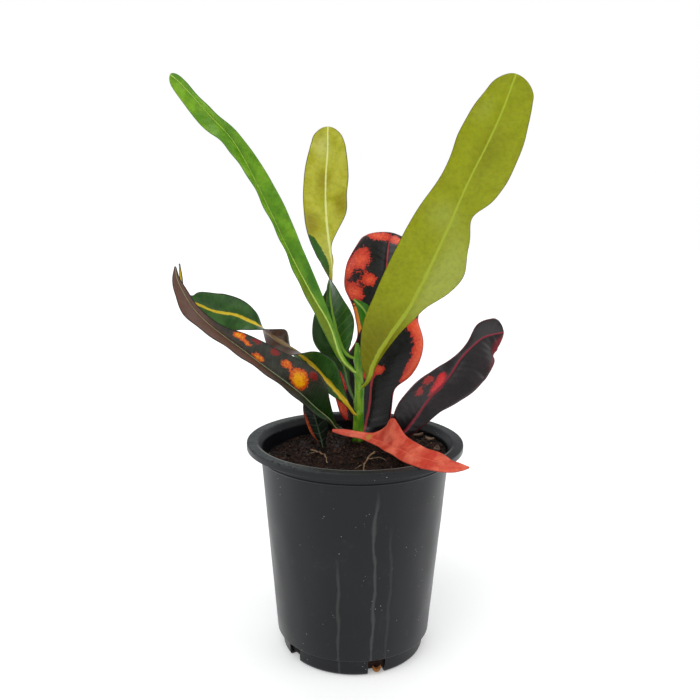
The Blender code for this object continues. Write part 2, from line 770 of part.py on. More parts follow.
def mix_tree(mix):
    """A ray-casting tree of the mix without its holes."""
    bm = bmesh.new()
    bm.from_mesh(mix.data)
    bmesh.ops.triangulate(bm, faces=bm.faces)
    tree = BVHTree.FromBMesh(bm)
    bm.free()
    return tree


def main() -> None:
    clear_scene()
    build_pot()
    mix = build_mix()
    build_stem()
    for leaf in (*LEAVES, FALLEN_LEAF):
        build_leaf(leaf)
    tree = mix_tree(mix)
    for name, line in SURFACE_ROOTS.items():
        build_root(name, line, tree)
    for name, spec in BARK_CHIPS.items():
        build_chip(name, spec, tree)
    build_slot_chip()


main()
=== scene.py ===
"""A young croton in a nursery pot: the fine model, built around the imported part.

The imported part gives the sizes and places. Every piece here stands for one of its nodes, or
lies on one, and carries a procedural finish. Lengths are in metres unless a name or a comment
says otherwise.
"""

import logging
import math
from dataclasses import dataclass
from enum import Enum

import bmesh
import bpy
import numpy as np
from mathutils import Matrix, Vector, noise


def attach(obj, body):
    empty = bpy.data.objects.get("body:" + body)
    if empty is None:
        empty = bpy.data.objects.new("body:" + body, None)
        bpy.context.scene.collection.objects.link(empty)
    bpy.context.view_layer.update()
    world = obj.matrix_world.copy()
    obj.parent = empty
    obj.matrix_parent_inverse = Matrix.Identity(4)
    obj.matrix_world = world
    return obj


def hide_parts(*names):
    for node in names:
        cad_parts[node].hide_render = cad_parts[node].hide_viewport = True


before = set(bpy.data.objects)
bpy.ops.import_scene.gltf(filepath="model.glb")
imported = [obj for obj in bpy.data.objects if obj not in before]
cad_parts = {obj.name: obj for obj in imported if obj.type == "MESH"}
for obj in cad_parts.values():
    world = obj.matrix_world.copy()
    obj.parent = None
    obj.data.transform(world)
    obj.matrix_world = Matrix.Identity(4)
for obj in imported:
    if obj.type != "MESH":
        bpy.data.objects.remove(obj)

LOG = logging.getLogger("croton")
MM = 0.001
CM_PER_M = 100.0
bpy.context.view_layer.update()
VIEWED_FROM = Vector((0.0, -1.0, 0.0))
VEIN_SLOPE = 0.55
MIX_BELOW_RIM = 0.009
STANDING_LEAF_FOOT = (-0.0195, 0.0140)
STANDING_LEAF_DEPTH = 0.005
SLOT_CHIP_SIZE = (5.0, 2.6, 3.4)

Colour = tuple[float, float, float, float]


def hue(code: str) -> Colour:
    """Turn a six-digit screen colour into the linear colour that a shader takes.

    Args:
        code: Red, green and blue as two hexadecimal digits each.

    Returns:
        The linear colour with full alpha.
    """
    parts = [int(code[index:index + 2], 16) / 255.0 for index in (0, 2, 4)]
    linear = [p / 12.92 if p <= 0.04045 else ((p + 0.055) / 1.055) ** 2.4 for p in parts]
    return (linear[0], linear[1], linear[2], 1.0)


class Patch(Enum):
    """What a painted area on a leaf is."""

    SPOT = "spot"
    FLECK = "fleck"
    TINT = "tint"
    SHADE = "shade"


def polar(radius: float, angle: float, height: float = 0.0) -> Vector:
    """Return the place at a radius and an angle round the pot's axis."""
    return Vector((radius * math.cos(angle), radius * math.sin(angle), height))


class Graph:
    """Shared ways to add and join nodes in a node tree."""

    def __init__(self, tree: bpy.types.NodeTree) -> None:
        """Keep the tree that nodes are added to."""
        self.tree = tree

    def add(self, kind: str, settings: dict | None = None, **inputs: object) -> bpy.types.Node:
        """Add one node.

        Args:
            kind: The node's type name.
            settings: Attributes to set before its inputs are filled.
            inputs: Input values or sockets, named as the input with _ for a space.

        Returns:
            The new node.
        """
        node = self.tree.nodes.new(kind)
        for key, value in (settings or {}).items():
            setattr(node, key, value)
        for key, value in inputs.items():
            self.feed(node.inputs[key.replace("_", " ")], value)
        return node

    def feed(self, socket: bpy.types.NodeSocket, value: object) -> None:
        """Link a socket to an input, or set the input's own value.

        Args:
            socket: The input.
            value: A socket to link, or a plain value.
        """
        if isinstance(value, bpy.types.NodeSocket):
            self.tree.links.new(value, socket)
        else:
            socket.default_value = value

    def operate(self, kind: str, operation: str, values: tuple) -> bpy.types.Node:
        """Add a node that works on the values of its first inputs.

        Args:
            kind: The node's type name.
            operation: What it does with them.
            values: Sockets or plain values, in the order of its inputs.

        Returns:
            The new node.
        """
        node = self.add(kind, {"operation": operation})
        for socket, value in zip(node.inputs, values):
            self.feed(socket, value)
        return node

    def math(self, operation: str, *values: object) -> bpy.types.NodeSocket:
        """Add a Math node on up to three numbers and return its result."""
        return self.operate("ShaderNodeMath", operation, values).outputs[0]

    def vector_math(self, operation: str, *values: object) -> bpy.types.Node:
        """Add a Vector Math node on up to two vectors and return it."""
        return self.operate("ShaderNodeVectorMath", operation, values)

    def noise(self, vector: object, scale: float, detail: float = 3.0,
              roughness: float = 0.55, distortion: float = 0.0) -> bpy.types.NodeSocket:
        """Add a noise texture and return its grey value.

        Args:
            vector: The coordinates.
            scale: Lumps per unit of the coordinates.
            detail: How many finer layers there are.
            roughness: How strong the finer layers are.
            distortion: How far the pattern swirls.

        Returns:
            The grey value, from 0 to 1.
        """
        node = self.add("ShaderNodeTexNoise", Vector=vector, Scale=scale, Detail=detail,
                        Roughness=roughness, Distortion=distortion)
        return node.outputs[0]


class Shader(Graph):
    """A Principled material under construction."""

    COLOUR_MIX_INPUTS = (0, 6, 7)
    COLOUR_MIX_OUTPUT = 2

    def __init__(self, name: str) -> None:
        """Start a material with a Principled shader.

        Args:
            name: The material's name.
        """
        self.material = bpy.data.materials.new(name)
        self.material.use_nodes = True
        super().__init__(self.material.node_tree)
        self.principled = self.tree.nodes["Principled BSDF"]
        self.place = self.add("ShaderNodeTexCoord").outputs["Object"]

    def set(self, **inputs: object) -> None:
        """Set or link inputs of the Principled shader."""
        for key, value in inputs.items():
            self.feed(self.principled.inputs[key.replace("_", " ")], value)

    def field(self, name: str) -> bpy.types.NodeSocket:
        """Read one of the piece's own number fields."""
        return self.add("ShaderNodeAttribute", {"attribute_name": name}).outputs["Fac"]

    def mix(self, factor: object, first: object, second: object,
            blend: str = "MIX") -> bpy.types.NodeSocket:
        """Mix two colours and return the result.

        Args:
            factor: The second colour's share.
            first: The colour at 0.
            second: The colour at 1.
            blend: The way that they are blended.

        Returns:
            The mixed colour.
        """
        node = self.add("ShaderNodeMix", {"data_type": "RGBA", "blend_type": blend})
        for index, value in zip(self.COLOUR_MIX_INPUTS, (factor, first, second)):
            self.feed(node.inputs[index], value)
        return node.outputs[self.COLOUR_MIX_OUTPUT]

    def step(self, value: object, low: float, high: float,
             to_low: float = 0.0, to_high: float = 1.0) -> bpy.types.NodeSocket:
        """Map a value smoothly from one range to another, held at both ends.

        Args:
            value: The number to map.
            low: The start of its range.
            high: The end of its range.
            to_low: The result at the start.
            to_high: The result at the end.

        Returns:
            The mapped number.
        """
        node = self.add("ShaderNodeMapRange", {"interpolation_type": "SMOOTHSTEP"},
                        Value=value, From_Min=low, From_Max=high)
        node.inputs["To Min"].default_value = to_low
        node.inputs["To Max"].default_value = to_high
        return node.outputs[0]

    def cells(self, vector: object, scale: float) -> bpy.types.NodeSocket:
        """Add a Voronoi texture and return its distance."""
        return self.add("ShaderNodeTexVoronoi", Vector=vector, Scale=scale).outputs["Distance"]

    def stretch(self, scale: tuple[float, float, float]) -> bpy.types.NodeSocket:
        """Return the object coordinates scaled along each axis."""
        return self.add("ShaderNodeMapping", Vector=self.place, Scale=scale).outputs[0]

    def relief(self, *layers: tuple[object, float, float]) -> None:
        """Stack bumps, each a height, a strength and a depth, on the shader's normal.

        Args:
            layers: The bumps, from the lowest to the topmost.
        """
        normal = None
        for height, strength, depth in layers:
            node = self.add("ShaderNodeBump", Height=height, Strength=strength,
                            Distance=depth)
            if normal is not None:
                self.feed(node.inputs["Normal"], normal)
            normal = node.outputs[0]
        self.set(Normal=normal)


@dataclass(frozen=True)
class LeafFinish:
    """The living colours and surface of one leaf.

    Each pair of colours is the main one and the one that it drifts to. Widths are in
    centimetres, as the leaf's own fields are.
    """

    name: str
    upper: tuple[str, str]
    lower: tuple[str, str]
    rib: tuple[str, str]
    rib_width: float
    vein: str
    vein_share: float
    margin: str
    margin_width: float
    spot: tuple[str, str] = ("e8603c", "b03028")
    fleck: str = "c01c1c"
    tint: str = "8a8a20"
    shade: str = "5a4038"
    ragged: float = 0.5
    roughness: float = 0.34
    coat: float = 0.12
    glow: float = 0.08
    gloss: float = 0.24
    toned_below: bool = False

    def build(self) -> bpy.types.Material:
        """Build the leaf's material.

        Returns:
            A material that reads the leaf's number fields.
        """
        sh = Shader(self.name)
        across, along, inset = sh.field("across"), sh.field("along"), sh.field("inset")
        top = sh.step(sh.field("upper"), 0.3, 0.7)
        sheet = sh.add("ShaderNodeCombineXYZ", X=across, Y=along, Z=top).outputs[0]
        drift = sh.step(sh.noise(sheet, 0.9, 3.0), 0.35, 0.68)
        upper = sh.mix(drift, hue(self.upper[0]), hue(self.upper[1]))
        lower = sh.mix(drift, hue(self.lower[0]), hue(self.lower[1]))
        colour = sh.mix(top, lower, upper)
        shown = sh.math("SUBTRACT", 1.0, top) if self.toned_below else 1.0
        for field, tone in (("tint", self.tint), ("shade", self.shade)):
            share = sh.math("MULTIPLY", sh.step(sh.field(field), 0.1, 0.9), shown)
            colour = sh.mix(share, colour, hue(tone))
        mottle = sh.noise(sh.place, 420.0, 4.0, 0.65)
        colour = sh.mix(sh.step(mottle, 0.35, 0.75, 0.0, 0.20), colour,
                        hue("0c1206"), "MULTIPLY")
        slant = sh.math("SUBTRACT", along,
                        sh.math("MULTIPLY", sh.math("ABSOLUTE", across), VEIN_SLOPE))
        streak, veins = self.streaks(sh, across, slant), self.veins(sh, slant)
        colour = sh.mix(sh.math("MULTIPLY", veins, self.vein_share), colour, hue(self.vein))
        colour = sh.mix(sh.step(streak, 0.55, 0.85, 0.0, 0.10), colour, hue(self.vein))
        colour = self.painted(sh, sheet, colour)
        colour = self.ribbed(sh, across, along, top, colour)
        edge = sh.math("ADD", inset, sh.math("MULTIPLY", sh.noise(sheet, 6.0), 0.02))
        colour = sh.mix(sh.step(edge, self.margin_width, self.margin_width + 0.03, 1.0, 0.0),
                        colour, hue(self.margin))
        sh.set(Base_Color=colour, Coat_Weight=self.coat, Coat_Roughness=0.30,
               Subsurface_Weight=self.glow, Subsurface_Scale=0.0012,
               Specular_IOR_Level=self.gloss)
        dull = sh.noise(sh.place, 95.0, 3.0)
        sh.set(Roughness=sh.step(dull, 0.3, 0.7, self.roughness - 0.07,
                                 self.roughness + 0.12))
        grain = sh.cells(sh.place, 1500.0)
        crease = sh.noise(sh.place, 150.0, 4.0, 0.6, 0.6)
        sh.relief((crease, 0.30, 0.0008), (veins, 0.14, 0.00025), (streak, 0.18, 0.00010),
                  (grain, 0.08, 0.00004))
        return sh.material

    def veins(self, sh: Shader, slant: object) -> bpy.types.NodeSocket:
        """Draw the side veins that leave the rib at an angle towards the tip.

        Args:
            sh: The material under construction.
            slant: The distance along the leaf, drawn back beside the rib.

        Returns:
            The veins' strength, 1 in the middle of one.
        """
        wander = sh.math("MULTIPLY", sh.noise(sh.place, 70.0, 2.0), 0.30)
        run = sh.math("MULTIPLY", sh.math("ADD", slant, wander), 2.1)
        return sh.step(sh.math("PINGPONG", run, 0.5), 0.0, 0.10, 1.0, 0.0)

    def streaks(self, sh: Shader, across: object, slant: object) -> bpy.types.NodeSocket:
        """Draw the fine net between the veins, drawn out along them."""
        drawn = sh.add("ShaderNodeCombineXYZ", X=across, Y=sh.math("MULTIPLY", slant, 5.0))
        return sh.noise(drawn.outputs[0], 4.0, 4.0, 0.6)

    def painted(self, sh: Shader, sheet: object, colour: object) -> bpy.types.NodeSocket:
        """Lay the spots and flecks over the leaf's colour.

        Args:
            sh: The material under construction.
            sheet: The leaf's own flat coordinates.
            colour: The colour below.

        Returns:
            The colour with them.
        """
        rough_edge = sh.math("SUBTRACT", sh.noise(sheet, 6.5, 5.0, 0.68), 0.5)
        push = sh.math("MULTIPLY", rough_edge, self.ragged)
        spot = sh.math("ADD", sh.field("spot"), push)
        patchy = sh.noise(sheet, 7.0, 4.0, 0.6)
        inner = sh.mix(sh.step(sh.math("ADD", spot, sh.math("MULTIPLY", patchy, 1.1)),
                               1.10, 1.75), hue(self.spot[1]), hue(self.spot[0]))
        soil = sh.step(sh.noise(sheet, 16.0, 4.0, 0.7), 0.52, 0.72, 0.0, 0.55)
        inner = sh.mix(soil, inner, hue(self.upper[0]))
        colour = sh.mix(sh.step(spot, 0.44, 0.54), colour, inner)
        fleck = sh.math("ADD", sh.field("fleck"), push)
        return sh.mix(sh.step(fleck, 0.42, 0.55), colour, hue(self.fleck))

    def ribbed(self, sh: Shader, across: object, along: object, top: object,
               colour: object) -> bpy.types.NodeSocket:
        """Draw the midrib, which narrows towards the tip.

        Args:
            sh: The material under construction.
            across: The distance from the rib.
            along: The distance from the base.
            top: 1 on the upper side and 0 below.
            colour: The colour below.

        Returns:
            The colour with the rib.
        """
        taper = sh.step(along, 0.0, 18.0, self.rib_width, self.rib_width * 0.35)
        uneven = sh.step(sh.noise(sh.place, 260.0), 0.3, 0.7, 0.75, 1.15)
        width = sh.math("MULTIPLY", taper, uneven)
        inside = sh.math("DIVIDE", sh.math("ABSOLUTE", across), width)
        rib = sh.mix(top, hue(self.rib[1]), hue(self.rib[0]))
        share = sh.math("MULTIPLY", sh.step(inside, 0.55, 1.05, 1.0, 0.0),
                        sh.step(sh.field("inset"), 0.02, 0.07))
        return sh.mix(share, colour, rib)


@dataclass(frozen=True)
class PotFinish:
    """Thin moulded black plastic, scuffed at the rim and dusty, with painted highlights down its
    side and along the front of the rim's inner edge.
    """

    rim_height: float
    lip_radius: float
    body: str = "07090e"
    scuff: str = "4a5050"
    dust_and_highlight: str = "aeb2ac"
    # Painted highlights down the body: azimuth in degrees, strength and top height of each.
    sheen: tuple[tuple[float, float, float], ...] = (
        (-76.5, 0.085, 0.120), (-99.5, 0.060, 0.080), (-66.0, 0.030, 0.100))

    def wavy_highlight(self, sh: Shader, split: object, azimuth: float) -> bpy.types.NodeSocket:
        """Draw an upright wavy line of painted highlight at an azimuth in degrees.

        Args:
            sh: The material under construction.
            split: The place's separate coordinates.
            azimuth: Where the line stands.

        Returns:
            The line's strength.
        """
        angle = sh.math("ARCTAN2", split["Y"], split["X"])
        level = sh.add("ShaderNodeCombineXYZ", Z=split["Z"]).outputs[0]
        sway = sh.step(sh.noise(level, 16.0, 2.0), 0.2, 0.8, -0.05, 0.05)
        away = sh.math("SUBTRACT", sh.math("SUBTRACT", angle, math.radians(azimuth)), sway)
        width = sh.step(sh.noise(level, 90.0, 2.0), 0.3, 0.7, 0.014, 0.040)
        return sh.step(sh.math("DIVIDE", sh.math("ABSOLUTE", away), width), 0.1, 1.0, 1.0, 0.0)

    def build(self) -> bpy.types.Material:
        """Build the pot's material.

        Returns:
            The finished material.
        """
        sh = Shader("pot_plastic")
        split = sh.add("ShaderNodeSeparateXYZ", Vector=sh.place).outputs
        cloud = sh.noise(sh.place, 28.0, 4.0)
        colour = sh.mix(sh.step(cloud, 0.35, 0.7), hue(self.body), hue("0c0f15"))
        on_rim = sh.step(split["Z"], self.rim_height - 0.0016, self.rim_height)
        wear = sh.noise(sh.place, 300.0, 5.0, 0.7)
        worn = sh.math("MULTIPLY", sh.step(wear, 0.2, 0.75, 0.25, 0.9),
                       sh.step(split["X"], -0.05, 0.01, 0.8, 0.14))
        colour = sh.mix(sh.math("MULTIPLY", on_rim, worn), colour, hue(self.scuff))
        # Painted highlights: pale wavy lines down the glossy body, in the dust-and-highlight
        # colour.
        for azimuth, strength, top in self.sheen:
            line = sh.math("MULTIPLY", self.wavy_highlight(sh, split, azimuth),
                           sh.step(split["Z"], top - 0.02, top, strength, 0.0))
            colour = sh.mix(line, colour, hue(self.dust_and_highlight))
        drawn = sh.noise(sh.stretch((900.0, 900.0, 60.0)), 1.0, 3.0, 0.6)
        scratch = sh.step(drawn, 0.70, 0.78)
        colour = sh.mix(sh.math("MULTIPLY", scratch, 0.10), colour, hue(self.dust_and_highlight))
        film = sh.step(sh.noise(sh.place, 55.0, 5.0, 0.7), 0.56, 0.90, 0.0, 0.05)
        colour = sh.mix(film, colour, hue(self.dust_and_highlight))
        speck = sh.step(sh.cells(sh.place, 420.0), 0.060, 0.110, 1.0, 0.0)
        some = sh.step(sh.noise(sh.place, 90.0, 2.0), 0.56, 0.62)
        colour = sh.mix(sh.math("MULTIPLY", sh.math("MULTIPLY", speck, some), 0.85),
                        colour, hue(self.dust_and_highlight))
        grit = sh.step(sh.cells(sh.place, 460.0), 0.28, 0.36, 1.0, 0.0)
        near = sh.step(sh.noise(sh.place, 70.0, 1.0), 0.42, 0.48)
        dirt = sh.math("MULTIPLY", sh.math("MULTIPLY", grit, near), on_rim)
        colour = sh.mix(dirt, colour, hue("020202"))
        # Painted highlight: a thin pale line along the rim's inner edge, at the front only.
        flat = sh.add("ShaderNodeCombineXYZ", X=split["X"], Y=split["Y"])
        reach = sh.vector_math("LENGTH", flat.outputs[0]).outputs["Value"]
        away = sh.math("SUBTRACT", reach, self.lip_radius)
        lip_highlight = sh.step(sh.math("ABSOLUTE", away), 0.0002, 0.0010, 1.0, 0.0)
        lip_highlight = sh.math("MULTIPLY", lip_highlight, sh.math("MULTIPLY", on_rim, sh.step(
            split["Y"], -0.01, -0.035, 0.0, 0.40)))
        colour = sh.mix(lip_highlight, colour, hue(self.dust_and_highlight))
        rough = sh.math("ADD", sh.step(cloud, 0.3, 0.7, 0.30, 0.40),
                        sh.math("MULTIPLY", on_rim, 0.22))
        sh.set(Base_Color=colour, Roughness=rough, Specular_IOR_Level=0.30)
        sh.relief((sh.noise(sh.place, 24.0, 2.0), 0.25, 0.0010),
                  (drawn, 0.10, 0.00006), (speck, 0.25, 0.00010))
        return sh.material


@dataclass(frozen=True)
class EarthFinish:
    """Moist crumbly matter: potting mix, bark or roots."""

    name: str
    dark: str
    light: str
    warm: str
    grain: float
    roughness: float = 0.88
    specular: float = 0.16

    def build(self) -> bpy.types.Material:
        """Build the material, clouded at one scale and grained at a finer one, with painted
        shade in its pits.

        Returns:
            The finished material.
        """
        sh = Shader(self.name)
        cloud = sh.noise(sh.place, self.grain * 0.35, 3.0)
        fine = sh.noise(sh.place, self.grain * 2.2, 5.0, 0.7)
        colour = sh.mix(sh.step(cloud, 0.38, 0.66), hue(self.dark), hue(self.light))
        colour = sh.mix(sh.step(fine, 0.50, 0.78, 0.0, 0.75), colour, hue(self.warm))
        # Painted shade: near-black in the pits, at the cells' centres.
        shaded_pit = sh.step(sh.cells(sh.place, self.grain * 1.5), 0.0, 0.45, 0.55, 0.0)
        colour = sh.mix(shaded_pit, colour, hue("080504"))
        wet = sh.step(sh.noise(sh.place, self.grain * 0.8, 2.0), 0.35, 0.65,
                      self.roughness - 0.25, self.roughness + 0.08)
        sh.set(Base_Color=colour, Roughness=wet, Specular_IOR_Level=self.specular)
        sh.relief((fine, 0.7, 0.0005), (shaded_pit, 0.5, 0.0004))
        return sh.material


@dataclass(frozen=True)
class StemFinish:
    """Young green bark: fresh green, with pale warts and a browner foot."""

    foot_height: float

    def build(self) -> bpy.types.Material:
        """Build the stem's material.

        Returns:
            The finished material.
        """
        sh = Shader("stem_green")
        height = sh.add("ShaderNodeSeparateXYZ", Vector=sh.place).outputs["Z"]
        drift = sh.step(sh.noise(sh.stretch((220.0, 220.0, 60.0)), 1.0, 3.0), 0.35, 0.68)
        colour = sh.mix(drift, hue("3f7c0a"), hue("88b41e"))
        rise = sh.step(height, self.foot_height, self.foot_height + 0.020, 1.0, 0.0)
        colour = sh.mix(sh.math("MULTIPLY", rise, 0.35), colour, hue("2f5a0c"))
        rise = sh.step(height, self.foot_height - 0.002, self.foot_height + 0.004, 1.0, 0.0)
        colour = sh.mix(rise, colour, hue("3a3014"))
        streak = sh.noise(sh.stretch((2600.0, 2600.0, 190.0)), 1.0, 3.0, 0.6)
        colour = sh.mix(sh.step(streak, 0.5, 0.8, 0.0, 0.35), colour, hue("2c5c08"))
        wart = sh.step(sh.cells(sh.stretch((420.0, 420.0, 300.0)), 1.0), 0.10, 0.18, 1.0, 0.0)
        colour = sh.mix(sh.math("MULTIPLY", wart, 0.5), colour, hue("c8cc7c"))
        sh.set(Base_Color=colour, Roughness=0.40, Coat_Weight=0.15, Coat_Roughness=0.3,
               Subsurface_Weight=0.10, Subsurface_Scale=0.002, Specular_IOR_Level=0.4)
        sh.relief((streak, 0.25, 0.00015), (wart, 0.4, 0.00020))
        return sh.material


def dress(obj: bpy.types.Object, material: bpy.types.Material | None, slot: str,
          *nodes: str) -> bpy.types.Object:
    """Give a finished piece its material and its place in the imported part.

    Args:
        obj: The piece, with its place in its mesh.
        material: Its finish, or None when its mesh already carries one.
        slot: The record's material slot.
        nodes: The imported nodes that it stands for.

    Returns:
        The same piece.
    """
    if material is not None:
        obj.data.materials.clear()
        obj.data.materials.append(material)
    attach(obj, "root")
    if nodes:
        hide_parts(*nodes)
    LOG.info("%s: %d faces, %s", obj.name, len(obj.data.polygons), slot)
    return obj


def piece_from(name: str, mesh: bpy.types.Mesh) -> bpy.types.Object:
    """Put a mesh in the scene as a named object at the origin.

    Args:
        name: The object's name.
        mesh: Its mesh.

    Returns:
        The new object.
    """
    obj = bpy.data.objects.new(name, mesh)
    bpy.context.scene.collection.objects.link(obj)
    return obj


def mesh_from(name: str, bm: bmesh.types.BMesh, recalc: bool = True) -> bpy.types.Object:
    """Finish a bmesh as a smooth object, with its faces turned outwards.

    Args:
        name: The piece's name.
        bm: The mesh under construction, which is freed.
        recalc: Whether the faces are turned outwards.

    Returns:
        The new object.
    """
    if recalc:
        bmesh.ops.recalc_face_normals(bm, faces=bm.faces)
    mesh = bpy.data.meshes.new(name)
    bm.to_mesh(mesh)
    bm.free()
    mesh.shade_smooth()
    return piece_from(name, mesh)


def baked(obj: bpy.types.Object, name: str) -> bpy.types.Object:
    """Replace an object and its modifiers by a plain mesh of the result.

    Args:
        obj: The object with its modifiers.
        name: The result's name.

    Returns:
        The plain object.
    """
    graph = bpy.context.evaluated_depsgraph_get()
    mesh = bpy.data.meshes.new_from_object(obj.evaluated_get(graph))
    bpy.data.objects.remove(obj, do_unlink=True)
    mesh.name = name
    return piece_from(name, mesh)


def catmull_rom(four: list, share: float) -> list[float]:
    """Blend four neighbouring rows; share runs from the second row to the third.

    Args:
        four: The rows, each of the same length.
        share: How far along the place is.

    Returns:
        The blended row.
    """
    return [
        0.5 * (2 * b + (c - a) * share + (2 * a - 5 * b + 4 * c - d) * share**2
               + (3 * b - a - 3 * c + d) * share**3)
        for a, b, c, d in zip(*four)
    ]


def curve_through(points: list, spacing: float) -> list[list[float]]:
    """Lay rows at about equal spacing on a smooth curve through the given rows.

    Args:
        points: Rows whose first three values are a place.
        spacing: The distance between neighbouring rows.

    Returns:
        The denser rows, the last given row included.
    """
    ghost = [
        [2 * a - b for a, b in zip(points[0], points[1])],
        *points,
        [2 * a - b for a, b in zip(points[-1], points[-2])],
    ]
    rows = []
    for index in range(1, len(ghost) - 2):
        run = math.dist(ghost[index][:3], ghost[index + 1][:3])
        steps = max(1, round(run / spacing))
        for step in range(steps):
            rows.append(catmull_rom(ghost[index - 1:index + 3], step / steps))
    rows.append(list(points[-1]))
    return rows


def skin(bm: bmesh.types.BMesh, rings: list, closed: bool = True) -> None:
    """Join neighbouring rings with faces and, where it is closed, fill both ends.

    Args:
        bm: The mesh to add to.
        rings: Rings with the same number of vertices.
        closed: Whether the ends are filled.
    """
    for lower, upper in zip(rings[:-1], rings[1:]):
        for k in range(len(lower)):
            n = (k + 1) % len(lower)
            bm.faces.new((lower[k], lower[n], upper[n], upper[k]))
    if closed:
        bm.faces.new(reversed(rings[0]))
        bm.faces.new(rings[-1])


def add_tube(bm: bmesh.types.BMesh, centres: list, radii: list[float], sides: int) -> None:
    """Add a closed tube of changing radius along a line of points.

    Args:
        bm: The mesh to add to.
        centres: The points of its centre line.
        radii: Its radius at each point.
        sides: How many flat sides it has.
    """
    rings = []
    side = Vector((1.0, 0.0, 0.0))
    for index, centre in enumerate(centres):
        before = Vector(centres[max(index - 1, 0)])
        after = Vector(centres[min(index + 1, len(centres) - 1)])
        tangent = (after - before).normalized()
        side = (side - side.dot(tangent) * tangent).normalized()
        top = tangent.cross(side)
        rings.append([
            bm.verts.new(
                Vector(centre)
                + side * radii[index] * math.cos(math.tau * k / sides)
                + top * radii[index] * math.sin(math.tau * k / sides)
            )
            for k in range(sides)
        ])
    skin(bm, rings)


@dataclass(frozen=True)
class Mark:
    """A soft-edged painted area on a leaf.

    along runs from 0 at the base to 1 at the tip, and across from -1 at the left margin to 1
    at the right one. The half length and the half width are in the same shares.
    """

    kind: Patch
    along: float
    across: float
    half_length: float
    half_width: float
    strength: float = 1.0

    def at(self, along: float, across: float) -> float:
        """Return how strongly the mark covers a point.

        Args:
            along: The point's share of the length.
            across: Its share of the half width.

        Returns:
            The strength, at most the mark's own.
        """
        away = ((along - self.along) / self.half_length) ** 2
        away += ((across - self.across) / self.half_width) ** 2
        return self.strength * math.exp(-0.69 * away)


def marks(kind: Patch, *rows: tuple[float, ...]) -> tuple[Mark, ...]:
    """Make the marks of one kind, each row holding a mark's other values in order."""
    return tuple(Mark(kind, *row) for row in rows)


@dataclass(frozen=True)
class Swell:
    """A place where the leaf's outline swells or, with a negative size, draws in.

    side is 1 for the right half and -1 for the left, size is in millimetres, and along and
    reach are shares of the leaf's length.
    """

    side: int
    along: float
    size: float
    reach: float

    def at(self, along: float) -> float:
        """Return the change of the half width at a share of the length, in metres."""
        return self.size * MM * math.exp(-(((along - self.along) / self.reach) ** 2))


